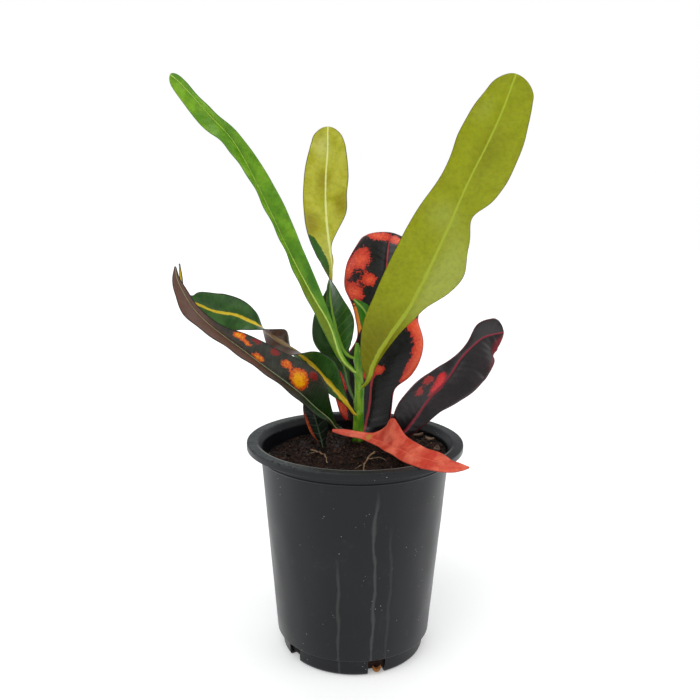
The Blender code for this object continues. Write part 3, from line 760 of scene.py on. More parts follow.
@dataclass(frozen=True)
class LeafBlade:
    """One leaf: petiole, midrib and blade in one closed skin.

    share and azimuth say where on the stem it starts, as a share of the stem's height and an
    angle in degrees; a loose or a standing leaf has neither. petiole counts the rows that stay
    thick at the base. A station is (x, y, z, right half, left half, roll, fold) from the start,
    in millimetres and degrees. With roll 0 the upper side faces the viewing side, and fold
    lifts both halves towards the upper side. cup is a share of the half width, and wave,
    wave_length and rib are in millimetres.
    """

    node: str
    slot: str
    share: float | None
    azimuth: float | None
    petiole: int
    blunt: bool
    finish: LeafFinish
    stations: tuple[tuple[float, ...], ...]
    marks: tuple[Mark, ...]
    cup: float
    wave: float
    rib: float
    swells: tuple[Swell, ...] = ()
    wave_length: float = 19.0
    ring_spacing: float = 0.0012
    half_columns: int = 10
    tip_rings: int = 16
    petiole_thickness: float = 0.0026
    blade_thickness: float = 0.0007
    margin_thickness: float = 0.00035
    least_half: float = 0.0002
    flat_from: float = 0.0016
    crown_reach: float = 0.0012
    rib_reach: float = 0.0011
    vein_spacing: float = 0.0048
    quilt_depth: float = 0.00009
    base_overlap: float = 0.0011

    @property
    def outward(self) -> Vector | None:
        """The level direction in which the petiole leaves the stem."""
        return None if self.azimuth is None else polar(1.0, math.radians(self.azimuth))

    def rows(self, start: Vector) -> list[list[float]]:
        """Lay the leaf's cross-sections at equal spacing from its base to its tip.

        Args:
            start: The place that the stations are measured from.

        Returns:
            Rows of place, half widths, roll, fold and half thickness.
        """
        rows = []
        if self.azimuth is not None:
            half = self.petiole_thickness / 2
            rows.append([*start, half, half, self.stations[0][5], 0.0])
        for x, y, z, right, left, roll, fold in self.stations:
            place = start + Vector((x, y, z)) * MM
            rows.append([*place, right * MM, left * MM, roll, fold])
        for index, row in enumerate(rows):
            thick = self.petiole_thickness if index < self.petiole else self.blade_thickness
            row.append(thick / 2)
        if not self.blunt:
            return self.softened(curve_through(rows, self.ring_spacing))
        body = self.softened(curve_through(rows[:-1], self.ring_spacing))
        last, tip, before = rows[-2], rows[-1], body[-4]
        reach = math.dist(last[:3], tip[:3])
        run = math.dist(last[:3], before[:3])
        for step in range(1, self.tip_rings + 1):
            share = math.sin(math.pi / 2 * step / self.tip_rings) * 0.999
            row = [a + (b - a) * share for a, b in zip(last, tip)]
            for half in (3, 4):
                narrowing = (before[half] - last[half]) / run * reach / last[half]
                narrowing = min(max(narrowing, 0.0), 0.6)
                row[half] = last[half] * math.sqrt(1.0 - share**2) * (1.0 - narrowing * share)
            body.append(row)
        return body

    def softened(self, rows: list[list[float]]) -> list[list[float]]:
        """Ease the half widths and turns along the leaf, its two ends held.

        Args:
            rows: The cross-sections.

        Returns:
            The eased cross-sections.
        """
        table = np.array(rows)
        for _ in range(5):
            inner = (table[:-2, 3:7] + 2 * table[1:-1, 3:7] + table[2:, 3:7]) / 4
            table[1:-1, 3:7] = inner
        return [list(row) for row in table]

    def relief(self, along: float, across: float) -> float:
        """Return the quilting between the side veins, from the distances in metres."""
        run = (along - abs(across) * VEIN_SLOPE) / self.vein_spacing
        return self.quilt_depth * math.cos(math.tau * run) * min(abs(across) / 0.003, 1.0)

    def mesh(self, start: Vector) -> bpy.types.Object:
        """Build the leaf's skin with its number fields.

        Args:
            start: The place that the stations are measured from.

        Returns:
            The piece, with the fields that its finish reads.
        """
        rows = self.rows(start)
        outward = self.outward
        if outward is not None:
            x, y, z, right, left, roll, fold, half = rows[0]
            rows.insert(0, [*(Vector((x, y, z)) - outward * self.base_overlap), right * 1.3,
                            left * 1.3, roll, fold, half * 1.3])
        places = [Vector(row[:3]) for row in rows]
        runs = [0.0]
        for first, second in zip(places[:-1], places[1:]):
            runs.append(runs[-1] + (second - first).length)
        for run, row in zip(runs, rows):
            for swell in self.swells:
                half = 3 if swell.side > 0 else 4
                row[half] = max(row[half] + swell.at(run / runs[-1]), 0.0003)
        fields = {name: [] for name in ("across", "along", "inset", "upper",
                                        *(kind.value for kind in Patch))}
        bm = bmesh.new()
        rings = []
        for index, row in enumerate(rows):
            tangent = places[min(index + 1, len(rows) - 1)] - places[max(index - 1, 0)]
            if index < 2 and outward is not None:
                tangent = outward
            rings.append(self.ring(bm, row, tangent.normalized(), runs[index],
                                   runs[-1], fields))
        skin(bm, rings)
        obj = mesh_from("fine_" + self.node, bm)
        for name, values in fields.items():
            layer = obj.data.attributes.new(name, "FLOAT", "POINT")
            layer.data.foreach_set("value", np.array(values, np.float32))
        return obj

    def ring(self, bm: bmesh.types.BMesh, row: list[float], tangent: Vector, run: float,
             length: float, fields: dict[str, list[float]]) -> list:
        """Add one cross-section: the upper side from left to right, then the lower side back.

        Args:
            bm: The mesh to add to.
            row: Place, half widths, roll, fold and half thickness.
            tangent: The leaf's direction here.
            run: The distance from the base.
            length: The whole leaf's length.
            fields: The number fields, which get one value for each point.

        Returns:
            The ring's vertices in order.
        """
        centre = Vector(row[:3])
        roll, fold, half = math.radians(row[5]), math.radians(row[6]), row[7]
        facing = (VIEWED_FROM - VIEWED_FROM.dot(tangent) * tangent).normalized()
        side = tangent.cross(facing)
        crown = facing * math.cos(roll) - side * math.sin(roll)
        widest = max(row[3], row[4])
        flatness = min(max(widest / self.flat_from - 1.0, 0.0), 1.0)
        share = run / length
        wave = self.wave * MM * min(max((share - 0.12) / 0.2, 0.0), 1.0)
        columns = [k / self.half_columns for k in range(self.half_columns + 1)]
        line = []
        for sign, width, angle in ((-1, max(row[4], self.least_half), roll + math.pi - fold),
                                   (1, max(row[3], self.least_half), roll + fold)):
            along_side = side * math.cos(angle) + facing * math.sin(angle)
            up_side = (facing * math.cos(angle) - side * math.sin(angle)) * sign
            part = []
            for s in columns:
                across = s * width
                lift = self.cup * width * 1.6 * (s - s * s) * flatness
                lift += wave * s * s * math.sin(math.tau * run / (self.wave_length * MM)
                                                + 1.7 * sign)
                lift += self.relief(run, across) * flatness * (1.0 - s**6)
                up = up_side.lerp(crown, max(0.0, 1.0 - across / self.crown_reach)).normalized()
                flat = self.margin_thickness / 2 + (half - self.margin_thickness / 2) * (
                    (1.0 - s**1.5) if half > self.margin_thickness / 2 else 0.0)
                thick = flat * flatness + half * math.sqrt(max(1 - s * s, 0.03)) * (1 - flatness)
                ridge = self.rib * MM * (1.0 - 0.75 * share) * flatness
                ridge *= math.exp(-((across / (self.rib_reach * (1.1 - 0.6 * share))) ** 2))
                groove = ridge * 0.22
                part.append((along_side * across + up_side * lift, up, thick - groove,
                             thick + ridge, sign * s, across))
            line.append(part)
        order = [*reversed(line[0]), *line[1][1:]]
        ring = []
        for is_upper, sequence in ((True, order), (False, list(reversed(order)))):
            for offset, up, above, below, u, across in sequence:
                place = centre + offset + (up * above if is_upper else -up * below)
                ring.append(bm.verts.new(place))
                signed = math.copysign(across, u) if u else 0.0
                width = row[3] if u > 0 else row[4]
                fields["across"].append(signed * CM_PER_M)
                fields["along"].append(run * CM_PER_M)
                fields["inset"].append(max(width - across, 0.0) * CM_PER_M)
                fields["upper"].append(float(is_upper))
                for kind in Patch:
                    total = sum(m.at(share, u) for m in self.marks if m.kind is kind)
                    fields[kind.value].append(min(total, 1.2))
        return ring

    def build(self, start: Vector) -> None:
        """Build and dress the leaf, its stations measured from a place."""
        dress(self.mesh(start), self.finish.build(), self.slot, self.node)


@dataclass(frozen=True)
class NurseryPot:
    """The thin plastic pot: foot with drain slots, tapered body, flat rim and skirt."""

    height: float = 0.130
    body_top: float = 0.0570
    body_foot: float = 0.0470
    overhang: float = 0.0080
    rim_flat: float = 0.0065
    rim_skirt: float = 0.0040
    foot_step: float = 0.0035
    foot_height: float = 0.0110
    wall: float = 0.0013
    floor: float = 0.0016
    slots: int = 5
    slot_width: float = 0.0105
    slot_first: float = -71.0
    slot_headroom: float = 0.0007
    slot_reach: float = 0.0060
    bead_drop: float = 0.0062
    segments: int = 240

    @property
    def mouth(self) -> float:
        """The radius of the rim's inner edge."""
        return self.body_top + self.overhang - self.rim_flat

    def body_radius(self, height: float) -> float:
        """Return the outer radius of the tapered body at a height.

        Args:
            height: The height above the floor.

        Returns:
            The radius.
        """
        top = self.height - self.rim_skirt
        share = (height - self.foot_height) / (top - self.foot_height)
        return self.body_foot + (self.body_top - self.body_foot) * share

    def outline(self) -> list[tuple[float, float, float]]:
        """Return the section's corners as radius, height and fillet radius.

        Returns:
            The corners, from the foot's outside up over the rim and down inside.
        """
        rim, mouth = self.body_top + self.overhang, self.mouth
        neck = self.height - self.rim_skirt
        foot = self.body_foot - self.foot_step
        ledge = self.foot_height + self.wall
        bead = neck - self.bead_drop
        return [
            (foot, 0.0, 0.0026), (foot, self.foot_height, 0.0004),
            (self.body_foot, self.foot_height, 0.0007),
            (self.body_radius(bead), bead, 0.0003),
            (self.body_radius(bead) + 0.0004, bead + 0.0006, 0.0003),
            (self.body_radius(bead), bead + 0.0013, 0.0003),
            (self.body_radius(neck), neck, 0.0006),
            (mouth + 0.0008, self.height - self.wall, 0.0004),
            (rim - self.wall, self.height - self.wall, 0.0003),
            (rim - self.wall * 0.8, neck, 0.0003), (rim, neck, 0.0004),
            (rim, self.height, 0.0011), (mouth, self.height, 0.0011),
            (self.body_radius(neck) - self.wall, neck, 0.0008),
            (self.body_radius(ledge + 0.001) - self.wall, ledge + 0.001, 0.0005),
            (foot - self.wall, ledge, 0.0005), (foot - self.wall, self.floor, 0.0010),
        ]

    def profile(self) -> list[tuple[float, float]]:
        """Round the outline's corners and run it from axis to axis.

        Returns:
            Points as radius and height.
        """
        corners = [Vector((r, z)) for r, z, _ in self.outline()]
        corners = [Vector((0.0, 0.0)), *corners, Vector((0.0, self.floor))]
        radii = [0.0, *[fillet for _, _, fillet in self.outline()], 0.0]
        points = [(0.0, 0.0)]
        for index in range(1, len(corners) - 1):
            corner = corners[index]
            back = corners[index - 1] - corner
            ahead = corners[index + 1] - corner
            reach = min(radii[index], back.length * 0.45, ahead.length * 0.45)
            first = corner + back.normalized() * reach
            last = corner + ahead.normalized() * reach
            for step in range(6):
                t = step / 5
                place = first.lerp(corner, t).lerp(corner.lerp(last, t), t)
                points.append((place.x, place.y))
            far = (corners[index + 1] - corner).length
            for step in range(1, int(far / 0.012)):
                place = last.lerp(corners[index + 1], step / int(far / 0.012))
                points.append((place.x, place.y))
        points.append((0.0, self.floor))
        return points

    def ripple(self, angle: float, height: float) -> float:
        """Return how far the soft wall bows out at a place.

        Args:
            angle: The angle round the axis.
            height: The height above the floor.

        Returns:
            The outward offset.
        """
        share = min(max((height - self.foot_height) / 0.02, 0.0), 1.0)
        share *= min(max((self.height - self.rim_skirt - height) / 0.02, 0.0), 1.0)
        drift = 0.12 * math.sin(height * 62.0) + 0.05 * math.sin(height * 190.0 + 1.0)
        bow = math.sin(9.0 * (angle + drift)) + 0.6 * math.sin(17.0 * (angle - drift) + 2.0)
        return 0.00013 * bow * share

    def mesh(self) -> bpy.types.Object:
        """Turn the section round the axis and cut the drain slots.

        Returns:
            The pot, with its sharp edges marked.
        """
        bm = bmesh.new()
        rings = []
        for r, z in self.profile()[1:-1]:
            turn = (math.tau * k / self.segments for k in range(self.segments))
            rings.append([bm.verts.new(polar(r + self.ripple(a, z), a, z)) for a in turn])
        skin(bm, rings)
        pot = mesh_from("fine_pot", bm)
        cutters = [self.slot(index) for index in range(self.slots)]
        for cutter in cutters:
            cut = pot.modifiers.new(cutter.name, "BOOLEAN")
            cut.operation, cut.solver, cut.object = "DIFFERENCE", "EXACT", cutter
        pot = baked(pot, "fine_nursery_pot")
        for cutter in cutters:
            bpy.data.objects.remove(cutter, do_unlink=True)
        pot.data.shade_smooth()
        pot.data.set_sharp_from_angle(angle=math.radians(35))
        return pot

    def slot(self, index: int) -> bpy.types.Object:
        """Make the box that cuts one drain slot, its upright edges eased.

        Args:
            index: Which of the slots it cuts.

        Returns:
            The cutting box.
        """
        foot = self.body_foot - self.foot_step
        inner, outer = foot - self.wall - self.slot_reach, foot + 0.004
        low, high = -0.002, self.foot_height - self.slot_headroom
        bm = bmesh.new()
        bmesh.ops.create_cube(bm, size=1.0)
        bmesh.ops.scale(bm, verts=bm.verts, vec=(outer - inner, self.slot_width, high - low))
        bmesh.ops.bevel(bm, geom=[e for e in bm.edges if abs(e.verts[0].co.x - e.verts[1].co.x)
                                  > 0.005 and e.verts[0].co.z > 0], offset=0.0006,
                        segments=3, affect="EDGES", profile=0.5)
        bmesh.ops.translate(bm, verts=bm.verts, vec=((inner + outer) / 2, 0, (low + high) / 2))
        azimuth = math.radians(self.slot_first + 360.0 * index / self.slots)
        bmesh.ops.rotate(bm, verts=bm.verts, cent=(0, 0, 0),
                         matrix=Matrix.Rotation(azimuth, 3, "Z"))
        return mesh_from(f"slot_cutter_{index}", bm)

    def build(self) -> bpy.types.Object:
        """Build and dress the pot."""
        finish = PotFinish(self.height, self.mouth + 0.0006)
        return dress(self.mesh(), finish.build(), "pot_plastic", "nursery_pot")


@dataclass(frozen=True)
class Litter:
    """One kind of loose matter scattered over the mix by a node tree.

    size is the smallest and the largest grain, and shape how much each grain is drawn out
    along its own three axes.
    """

    name: str
    density: float
    size: tuple[float, float]
    shape: tuple[float, float, float]
    tilt: float
    seed: int
    finish: EarthFinish
    slot: str
    rough: float = 0.9
    lift: float = 0.0

    def tree(self, material: bpy.types.Material) -> bpy.types.NodeTree:
        """Build the scatter tree, with its sizes as named inputs.

        Args:
            material: The grains' finish.

        Returns:
            The node tree.
        """
        tree = bpy.data.node_groups.new("scatter_" + self.name, "GeometryNodeTree")
        face = tree.interface
        face.new_socket(name="Surface", in_out="INPUT", socket_type="NodeSocketGeometry")
        for name in ("Density", "Smallest", "Largest", "Tilt"):
            face.new_socket(name=name, in_out="INPUT", socket_type="NodeSocketFloat")
        face.new_socket(name="Seed", in_out="INPUT", socket_type="NodeSocketInt")
        face.new_socket(name="Grains", in_out="OUTPUT", socket_type="NodeSocketGeometry")
        graph = Graph(tree)
        given = graph.add("NodeGroupInput").outputs
        spread = graph.add("GeometryNodeDistributePointsOnFaces", Mesh=given["Surface"],
                           Density=given["Density"], Seed=given["Seed"])
        turn = graph.add("FunctionNodeRandomValue", {"data_type": "FLOAT_VECTOR"})
        graph.feed(turn.inputs["Seed"], given["Seed"])
        back = graph.math("MULTIPLY", given["Tilt"], -1.0)
        low = graph.add("ShaderNodeCombineXYZ", X=back, Y=back)
        high = graph.add("ShaderNodeCombineXYZ", X=given["Tilt"], Y=given["Tilt"], Z=math.tau)
        graph.feed(turn.inputs[0], low.outputs[0])
        graph.feed(turn.inputs[1], high.outputs[0])
        size = graph.add("FunctionNodeRandomValue", {"data_type": "FLOAT"})
        graph.feed(size.inputs[2], given["Smallest"])
        graph.feed(size.inputs[3], given["Largest"])
        graph.feed(size.inputs["Seed"], graph.math("ADD", given["Seed"], 7.0))
        placed = graph.add("GeometryNodeInstanceOnPoints", Points=spread.outputs["Points"],
                           Instance=self.grain(graph), Rotation=turn.outputs[0],
                           Scale=size.outputs[1])
        real = graph.add("GeometryNodeRealizeInstances", Geometry=placed.outputs[0])
        dressed = graph.add("GeometryNodeSetMaterial", Geometry=real.outputs[0],
                            Material=material)
        out = graph.add("NodeGroupOutput")
        graph.feed(out.inputs["Grains"], dressed.outputs[0])
        return tree

    def grain(self, graph: Graph) -> bpy.types.NodeSocket:
        """Make one knobbly grain a unit across.

        Args:
            graph: The tree to add it to.

        Returns:
            The grain's geometry.
        """
        ball = graph.add("GeometryNodeMeshUVSphere", Segments=8, Rings=5, Radius=0.5)
        spot = graph.add("GeometryNodeInputPosition").outputs[0]
        bumps = graph.add("ShaderNodeTexNoise", Vector=spot, Scale=2.3 + 0.1 * self.seed,
                          Detail=2.0)
        centred = graph.vector_math("SUBTRACT", bumps.outputs["Color"], (0.5, 0.5, 0.5))
        pushed = graph.vector_math("SCALE", centred.outputs[0])
        graph.feed(pushed.inputs["Scale"], self.rough)
        knobbly = graph.add("GeometryNodeSetPosition", Geometry=ball.outputs[0],
                            Offset=pushed.outputs[0])
        drawn = graph.add("GeometryNodeTransform", Geometry=knobbly.outputs[0],
                          Scale=self.shape, Translation=(0.0, 0.0, self.lift))
        return drawn.outputs[0]

    def build(self, surface: bpy.types.Object) -> bpy.types.Object:
        """Scatter the litter over a surface and dress the result.

        Args:
            surface: The surface to scatter over.

        Returns:
            The dressed piece.
        """
        host = piece_from("host_" + self.name, surface.data.copy())
        material = self.finish.build()
        scatter = host.modifiers.new("scatter", "NODES")
        scatter.node_group = self.tree(material)
        values = {"Density": self.density, "Smallest": self.size[0],
                  "Largest": self.size[1], "Tilt": self.tilt, "Seed": self.seed}
        for socket in scatter.node_group.interface.items_tree:
            if socket.in_out == "INPUT" and socket.name in values:
                scatter[socket.identifier] = values[socket.name]
        return dress(baked(host, self.name), None, self.slot)


@dataclass(frozen=True)
class PottingMix:
    """The bed of mix in the pot, with the crumbs, lumps, splinters, fibres and flecks on it.

    grain_reach is the share of a kind's largest grain that it stays inside the pot's wall by.
    """

    pot: NurseryPot
    level: float
    stem_foot: tuple[float, float]
    slope: float = 0.060
    mound: float = 0.0015
    mound_radius: float = 0.022
    clearance: float = 0.0003
    grain_reach: float = 0.75
    rings: int = 110
    segments: int = 260

    def height(self, x: float, y: float) -> float:
        """Return the height of the crumbly surface at a place.

        Args:
            x: The place to the right.
            y: The place to the back.

        Returns:
            The height above the floor.
        """
        away = math.hypot(x - self.stem_foot[0], y - self.stem_foot[1])
        rise = self.mound * math.exp(-((away / self.mound_radius) ** 2))
        place = Vector((x, y, 0.0))
        lumps = 0.9 * noise.noise(place * 90.0) + 0.45 * noise.noise(place * 210.0)
        lumps += 0.50 * noise.noise(place * 470.0) + 0.30 * noise.noise(place * 1100.0)
        return self.level - 0.0003 + self.slope * x + rise + MM * lumps

    def top_rings(self, bm: bmesh.types.BMesh, margin: float = 0.0) -> list:
        """Add the rings of the top surface, from a margin inside the pot's wall inwards.

        Args:
            bm: The mesh to add to.
            margin: How far the first ring stays from the wall.

        Returns:
            The rings, the outermost first.
        """
        edge = self.pot.body_radius(self.level) - self.pot.wall - self.clearance - margin
        made = []
        for index in range(self.rings):
            r = edge * (1.0 - index / self.rings)
            ring = []
            for k in range(self.segments):
                x, y, _ = polar(r, math.tau * k / self.segments)
                ring.append(bm.verts.new((x, y, self.height(x, y))))
            made.append(ring)
        return made

    def surface(self, margin: float) -> bpy.types.Object:
        """Make the top surface alone, for scattering on, clear of the wall by a margin.

        Args:
            margin: How far it stays from the wall.

        Returns:
            The bare surface, which is removed after use.
        """
        bm = bmesh.new()
        skin(bm, self.top_rings(bm, margin), closed=False)
        return mesh_from("mix_surface", bm, recalc=False)

    def bed(self) -> bpy.types.Object:
        """Make the closed bed of mix, down to the pot's floor.

        Returns:
            The bed.
        """
        pot, gap = self.pot, self.clearance
        foot = pot.body_foot - pot.foot_step - pot.wall - gap
        ledge = pot.foot_height + pot.wall + gap
        wall = [(foot - 0.002, pot.floor + gap), (foot, pot.floor + 0.002),
                (foot, ledge), (pot.body_radius(ledge + 0.001) - pot.wall - gap, ledge + 0.0006)]
        bm = bmesh.new()
        rings = []
        for r, z in wall:
            rings.append([bm.verts.new(polar(r, math.tau * k / self.segments, z))
                          for k in range(self.segments)])
        skin(bm, rings + self.top_rings(bm))
        return mesh_from("fine_potting_mix", bm)

    def build(self) -> None:
        """Build and dress the bed and everything loose on it."""
        peat = EarthFinish("potting_mix", "0d0806", "24150f", "4a2d20", 190.0)
        dress(self.bed(), peat.build(), "potting_mix", "potting_mix")
        crumb = EarthFinish("mix_crumb", "0c0705", "2c1a13", "5a3a2a", 320.0)
        lump = EarthFinish("mix_lump", "170d09", "3c281f", "664636", 240.0)
        bark = EarthFinish("mix_splinter", "1c110b", "4a2e20", "80593c", 400.0)
        fibre = EarthFinish("mix_fibre", "3a281c", "6a523e", "a08468", 500.0)
        fleck = EarthFinish("mix_fleck", "6d5a44", "9a866a", "b8a88c", 500.0)
        litter = (
            Litter("mix_crumbs", 230000.0, (0.0007, 0.0018), (1, 0.85, 0.7), 3.0, 3, crumb,
                   "potting_mix"),
            Litter("mix_lumps", 26000.0, (0.0020, 0.0048), (1, 0.8, 0.6), 3.0, 5, lump,
                   "potting_mix", lift=0.10),
            Litter("mix_splinters", 24000.0, (0.0030, 0.0070), (1, 0.16, 0.10), 0.7, 8, bark,
                   "bark", 0.5, 0.06),
            Litter("mix_fibres", 22000.0, (0.0030, 0.0085), (1, 0.035, 0.03), 0.6, 11, fibre,
                   "root", 0.3, 0.05),
            Litter("mix_flecks", 12000.0, (0.0004, 0.0009), (1, 0.8, 0.7), 3.0, 13, fleck,
                   "bark", lift=0.25),
        )
        for kind in litter:
            surface = self.surface(kind.size[1] * self.grain_reach)
            kind.build(surface)
            bpy.data.objects.remove(surface, do_unlink=True)


@dataclass(frozen=True)
class Stem:
    """The green stem, swollen where each petiole leaves it.

    collar, scar and scar_pit hold a swelling's height, its reach along the stem and its spread
    round it in radians.
    """

    level: float
    foot: tuple[float, float] = (0.0015, 0.0180)
    top: tuple[float, float] = (0.0006, 0.0142)
    height: float = 0.0650
    buried: float = 0.0300
    radius_foot: float = 0.0036
    radius_top: float = 0.0021
    bend: float = 0.0012
    clearance: float = 0.0003
    sides: int = 48
    spacing: float = 0.0006
    collar_drop: float = 0.0012
    collar: tuple[float, float, float] = (0.0007, 0.0022, 0.75)
    scar: tuple[float, float, float] = (0.0006, 0.0013, 0.55)
    scar_pit: tuple[float, float, float] = (0.0005, 0.0006, 0.28)

    def axis(self, height: float) -> Vector:
        """Return the point of the centre line at a height above the mix.

        Args:
            height: The height above the mix, below 0 for the buried part.

        Returns:
            The point.
        """
        share = height / self.height
        bend = self.bend * math.sin(math.pi * max(share, 0.0))
        x = self.foot[0] + (self.top[0] - self.foot[0]) * share + bend
        y = self.foot[1] + (self.top[1] - self.foot[1]) * share
        return Vector((x, y, self.level + height))

    def radius(self, height: float) -> float:
        """Return the stem's radius at a height, smaller towards both ends.

        Args:
            height: The height above the mix, below 0 for the buried part.

        Returns:
            The radius.
        """
        if height < 0.0:
            return self.radius_foot * (1.0 - 0.75 * (-height / self.buried) ** 1.5)
        share = height / self.height
        taper = self.radius_foot + (self.radius_top - self.radius_foot) * share
        return taper * math.sqrt(max(1.0 - max(share - 0.9, 0.0) * 8.0, 0.04))

    def attach(self, share: float, azimuth: float) -> Vector:
        """Return where a petiole meets the stem, from its share of the height and its angle."""
        height = share * self.height
        return self.axis(height) + polar(self.radius(height) + self.clearance, azimuth)

    def build(self, joints: list[tuple[float, float]]) -> bpy.types.Object:
        """Build the stem with a collar at each petiole and three old leaf scars.

        Args:
            joints: Share of the height and azimuth of each petiole.

        Returns:
            The dressed piece.
        """
        scars = [(share, math.radians(azimuth)) for share, azimuth in SCARS]
        bm = bmesh.new()
        rings = []
        count = int((self.height + self.buried) / self.spacing)
        for index in range(count + 1):
            height = -self.buried + (self.height + self.buried) * index / count
            centre, base = self.axis(height), self.radius(height)
            ring = []
            for k in range(self.sides):
                angle = math.tau * k / self.sides
                radius = base
                for share, azimuth in joints:
                    away = height - share * self.height + self.collar_drop
                    radius += self.bulge(away, angle - azimuth, *self.collar)
                for share, azimuth in scars:
                    away = height - share * self.height
                    radius += self.bulge(away, angle - azimuth, *self.scar)
                    radius -= self.bulge(away - 0.0001, angle - azimuth, *self.scar_pit)
                radius += 0.00006 * math.sin(9 * angle + height * 300.0)
                radius += 0.00008 * noise.noise(Vector((math.cos(angle), math.sin(angle),
                                                        height * 300.0)) * 2.0)
                ring.append(bm.verts.new(centre + polar(radius, angle)))
            rings.append(ring)
        skin(bm, rings)
        finish = StemFinish(self.level)
        return dress(mesh_from("fine_stem", bm), finish.build(), "stem_green", "stem")

    def bulge(self, away: float, turn: float, size: float, reach: float,
              spread: float) -> float:
        """Return the height of a rounded swelling at a distance and an angle from it."""
        turn = (turn + math.pi) % math.tau - math.pi
        return size * math.exp(-((away / reach) ** 2) - (turn / spread) ** 2)


@dataclass(frozen=True)
class Root:
    """A thin root on the mix with its side roots, as (x, y) places in millimetres."""

    node: str
    line: tuple[tuple[float, float], ...]
    sides: tuple[tuple[tuple[float, float], ...], ...]
    radius: float = 0.00060

    def build(self, mix: PottingMix, finish: bpy.types.Material) -> None:
        """Build the root and its branches as closed tubes and dress them.

        Args:
            mix: The bed that the root lies on.
            finish: Its material.
        """
        bm = bmesh.new()
        for rank, line in enumerate((self.line, *self.sides)):
            rows = curve_through([[x * MM, y * MM, 0.0] for x, y in line], 0.0012)
            centres, radii = [], []
            for index, (x, y, _) in enumerate(rows):
                share = index / (len(rows) - 1)
                sway = noise.noise(Vector((x, y, 0.3)) * 260.0) * 0.0008
                rise = 0.0014 + 0.0010 * math.sin(math.pi * share) + sway
                centres.append(Vector((x + sway, y, mix.height(x, y) + rise)))
                knob = 1.0 + 0.25 * noise.noise(Vector((x, y, 0.7)) * 900.0)
                radii.append(self.radius * (0.55 if rank else 1.0) * (1.0 - 0.55 * share) * knob)
            add_tube(bm, centres, radii, 9)
        dress(mesh_from("fine_" + self.node, bm), finish, "root", self.node)


@dataclass(frozen=True)
class BarkChip:
    """A flat splinter of bark, split and worn at its ends. Sizes are in millimetres."""

    node: str
    centre: Vector
    size: tuple[float, float, float]
    turn: float
    seed: float

    def build(self, finish: bpy.types.Material) -> None:
        """Build the chip from a box cut fine, roughened in layers, and dress it.

        Args:
            finish: Its material.
        """
        length, width, thick = (value * MM for value in self.size)
        bm = bmesh.new()
        bmesh.ops.create_cube(bm, size=1.0)
        bmesh.ops.subdivide_edges(bm, edges=bm.edges[:], cuts=11, use_grid_fill=True)
        for vert in bm.verts:
            x, y, z = vert.co
            grain = noise.noise(Vector((x * 1.5, y * 7.0, self.seed)))
            layer = noise.noise(Vector((x * 3.0, y * 12.0, z * 3.0 + self.seed)))
            taper = 1.0 - 0.65 * abs(2 * x) ** 2.2
            ragged = 1.0 + 0.16 * noise.noise(Vector((y * 6.0, z * 4.0, self.seed + 3.0)))
            vert.co = Vector((
                x * length * ragged,
                y * width * taper * (1.0 + 0.25 * grain),
                z * thick * (0.62 + 0.35 * layer) * (1.0 - 0.5 * abs(2 * y) ** 3)
                + 0.5 * thick * (2 * x) ** 2 + 0.12 * thick * grain,
            ))
        low = min(vert.co.z for vert in bm.verts)
        bmesh.ops.translate(bm, verts=bm.verts, vec=(0.0, 0.0, -low))
        bmesh.ops.rotate(bm, verts=bm.verts, cent=(0, 0, 0),
                         matrix=Matrix.Rotation(math.radians(self.turn), 3, "Z"))
        bmesh.ops.translate(bm, verts=bm.verts, vec=self.centre)
        dress(mesh_from("fine_" + self.node, bm), finish, "bark", self.node)


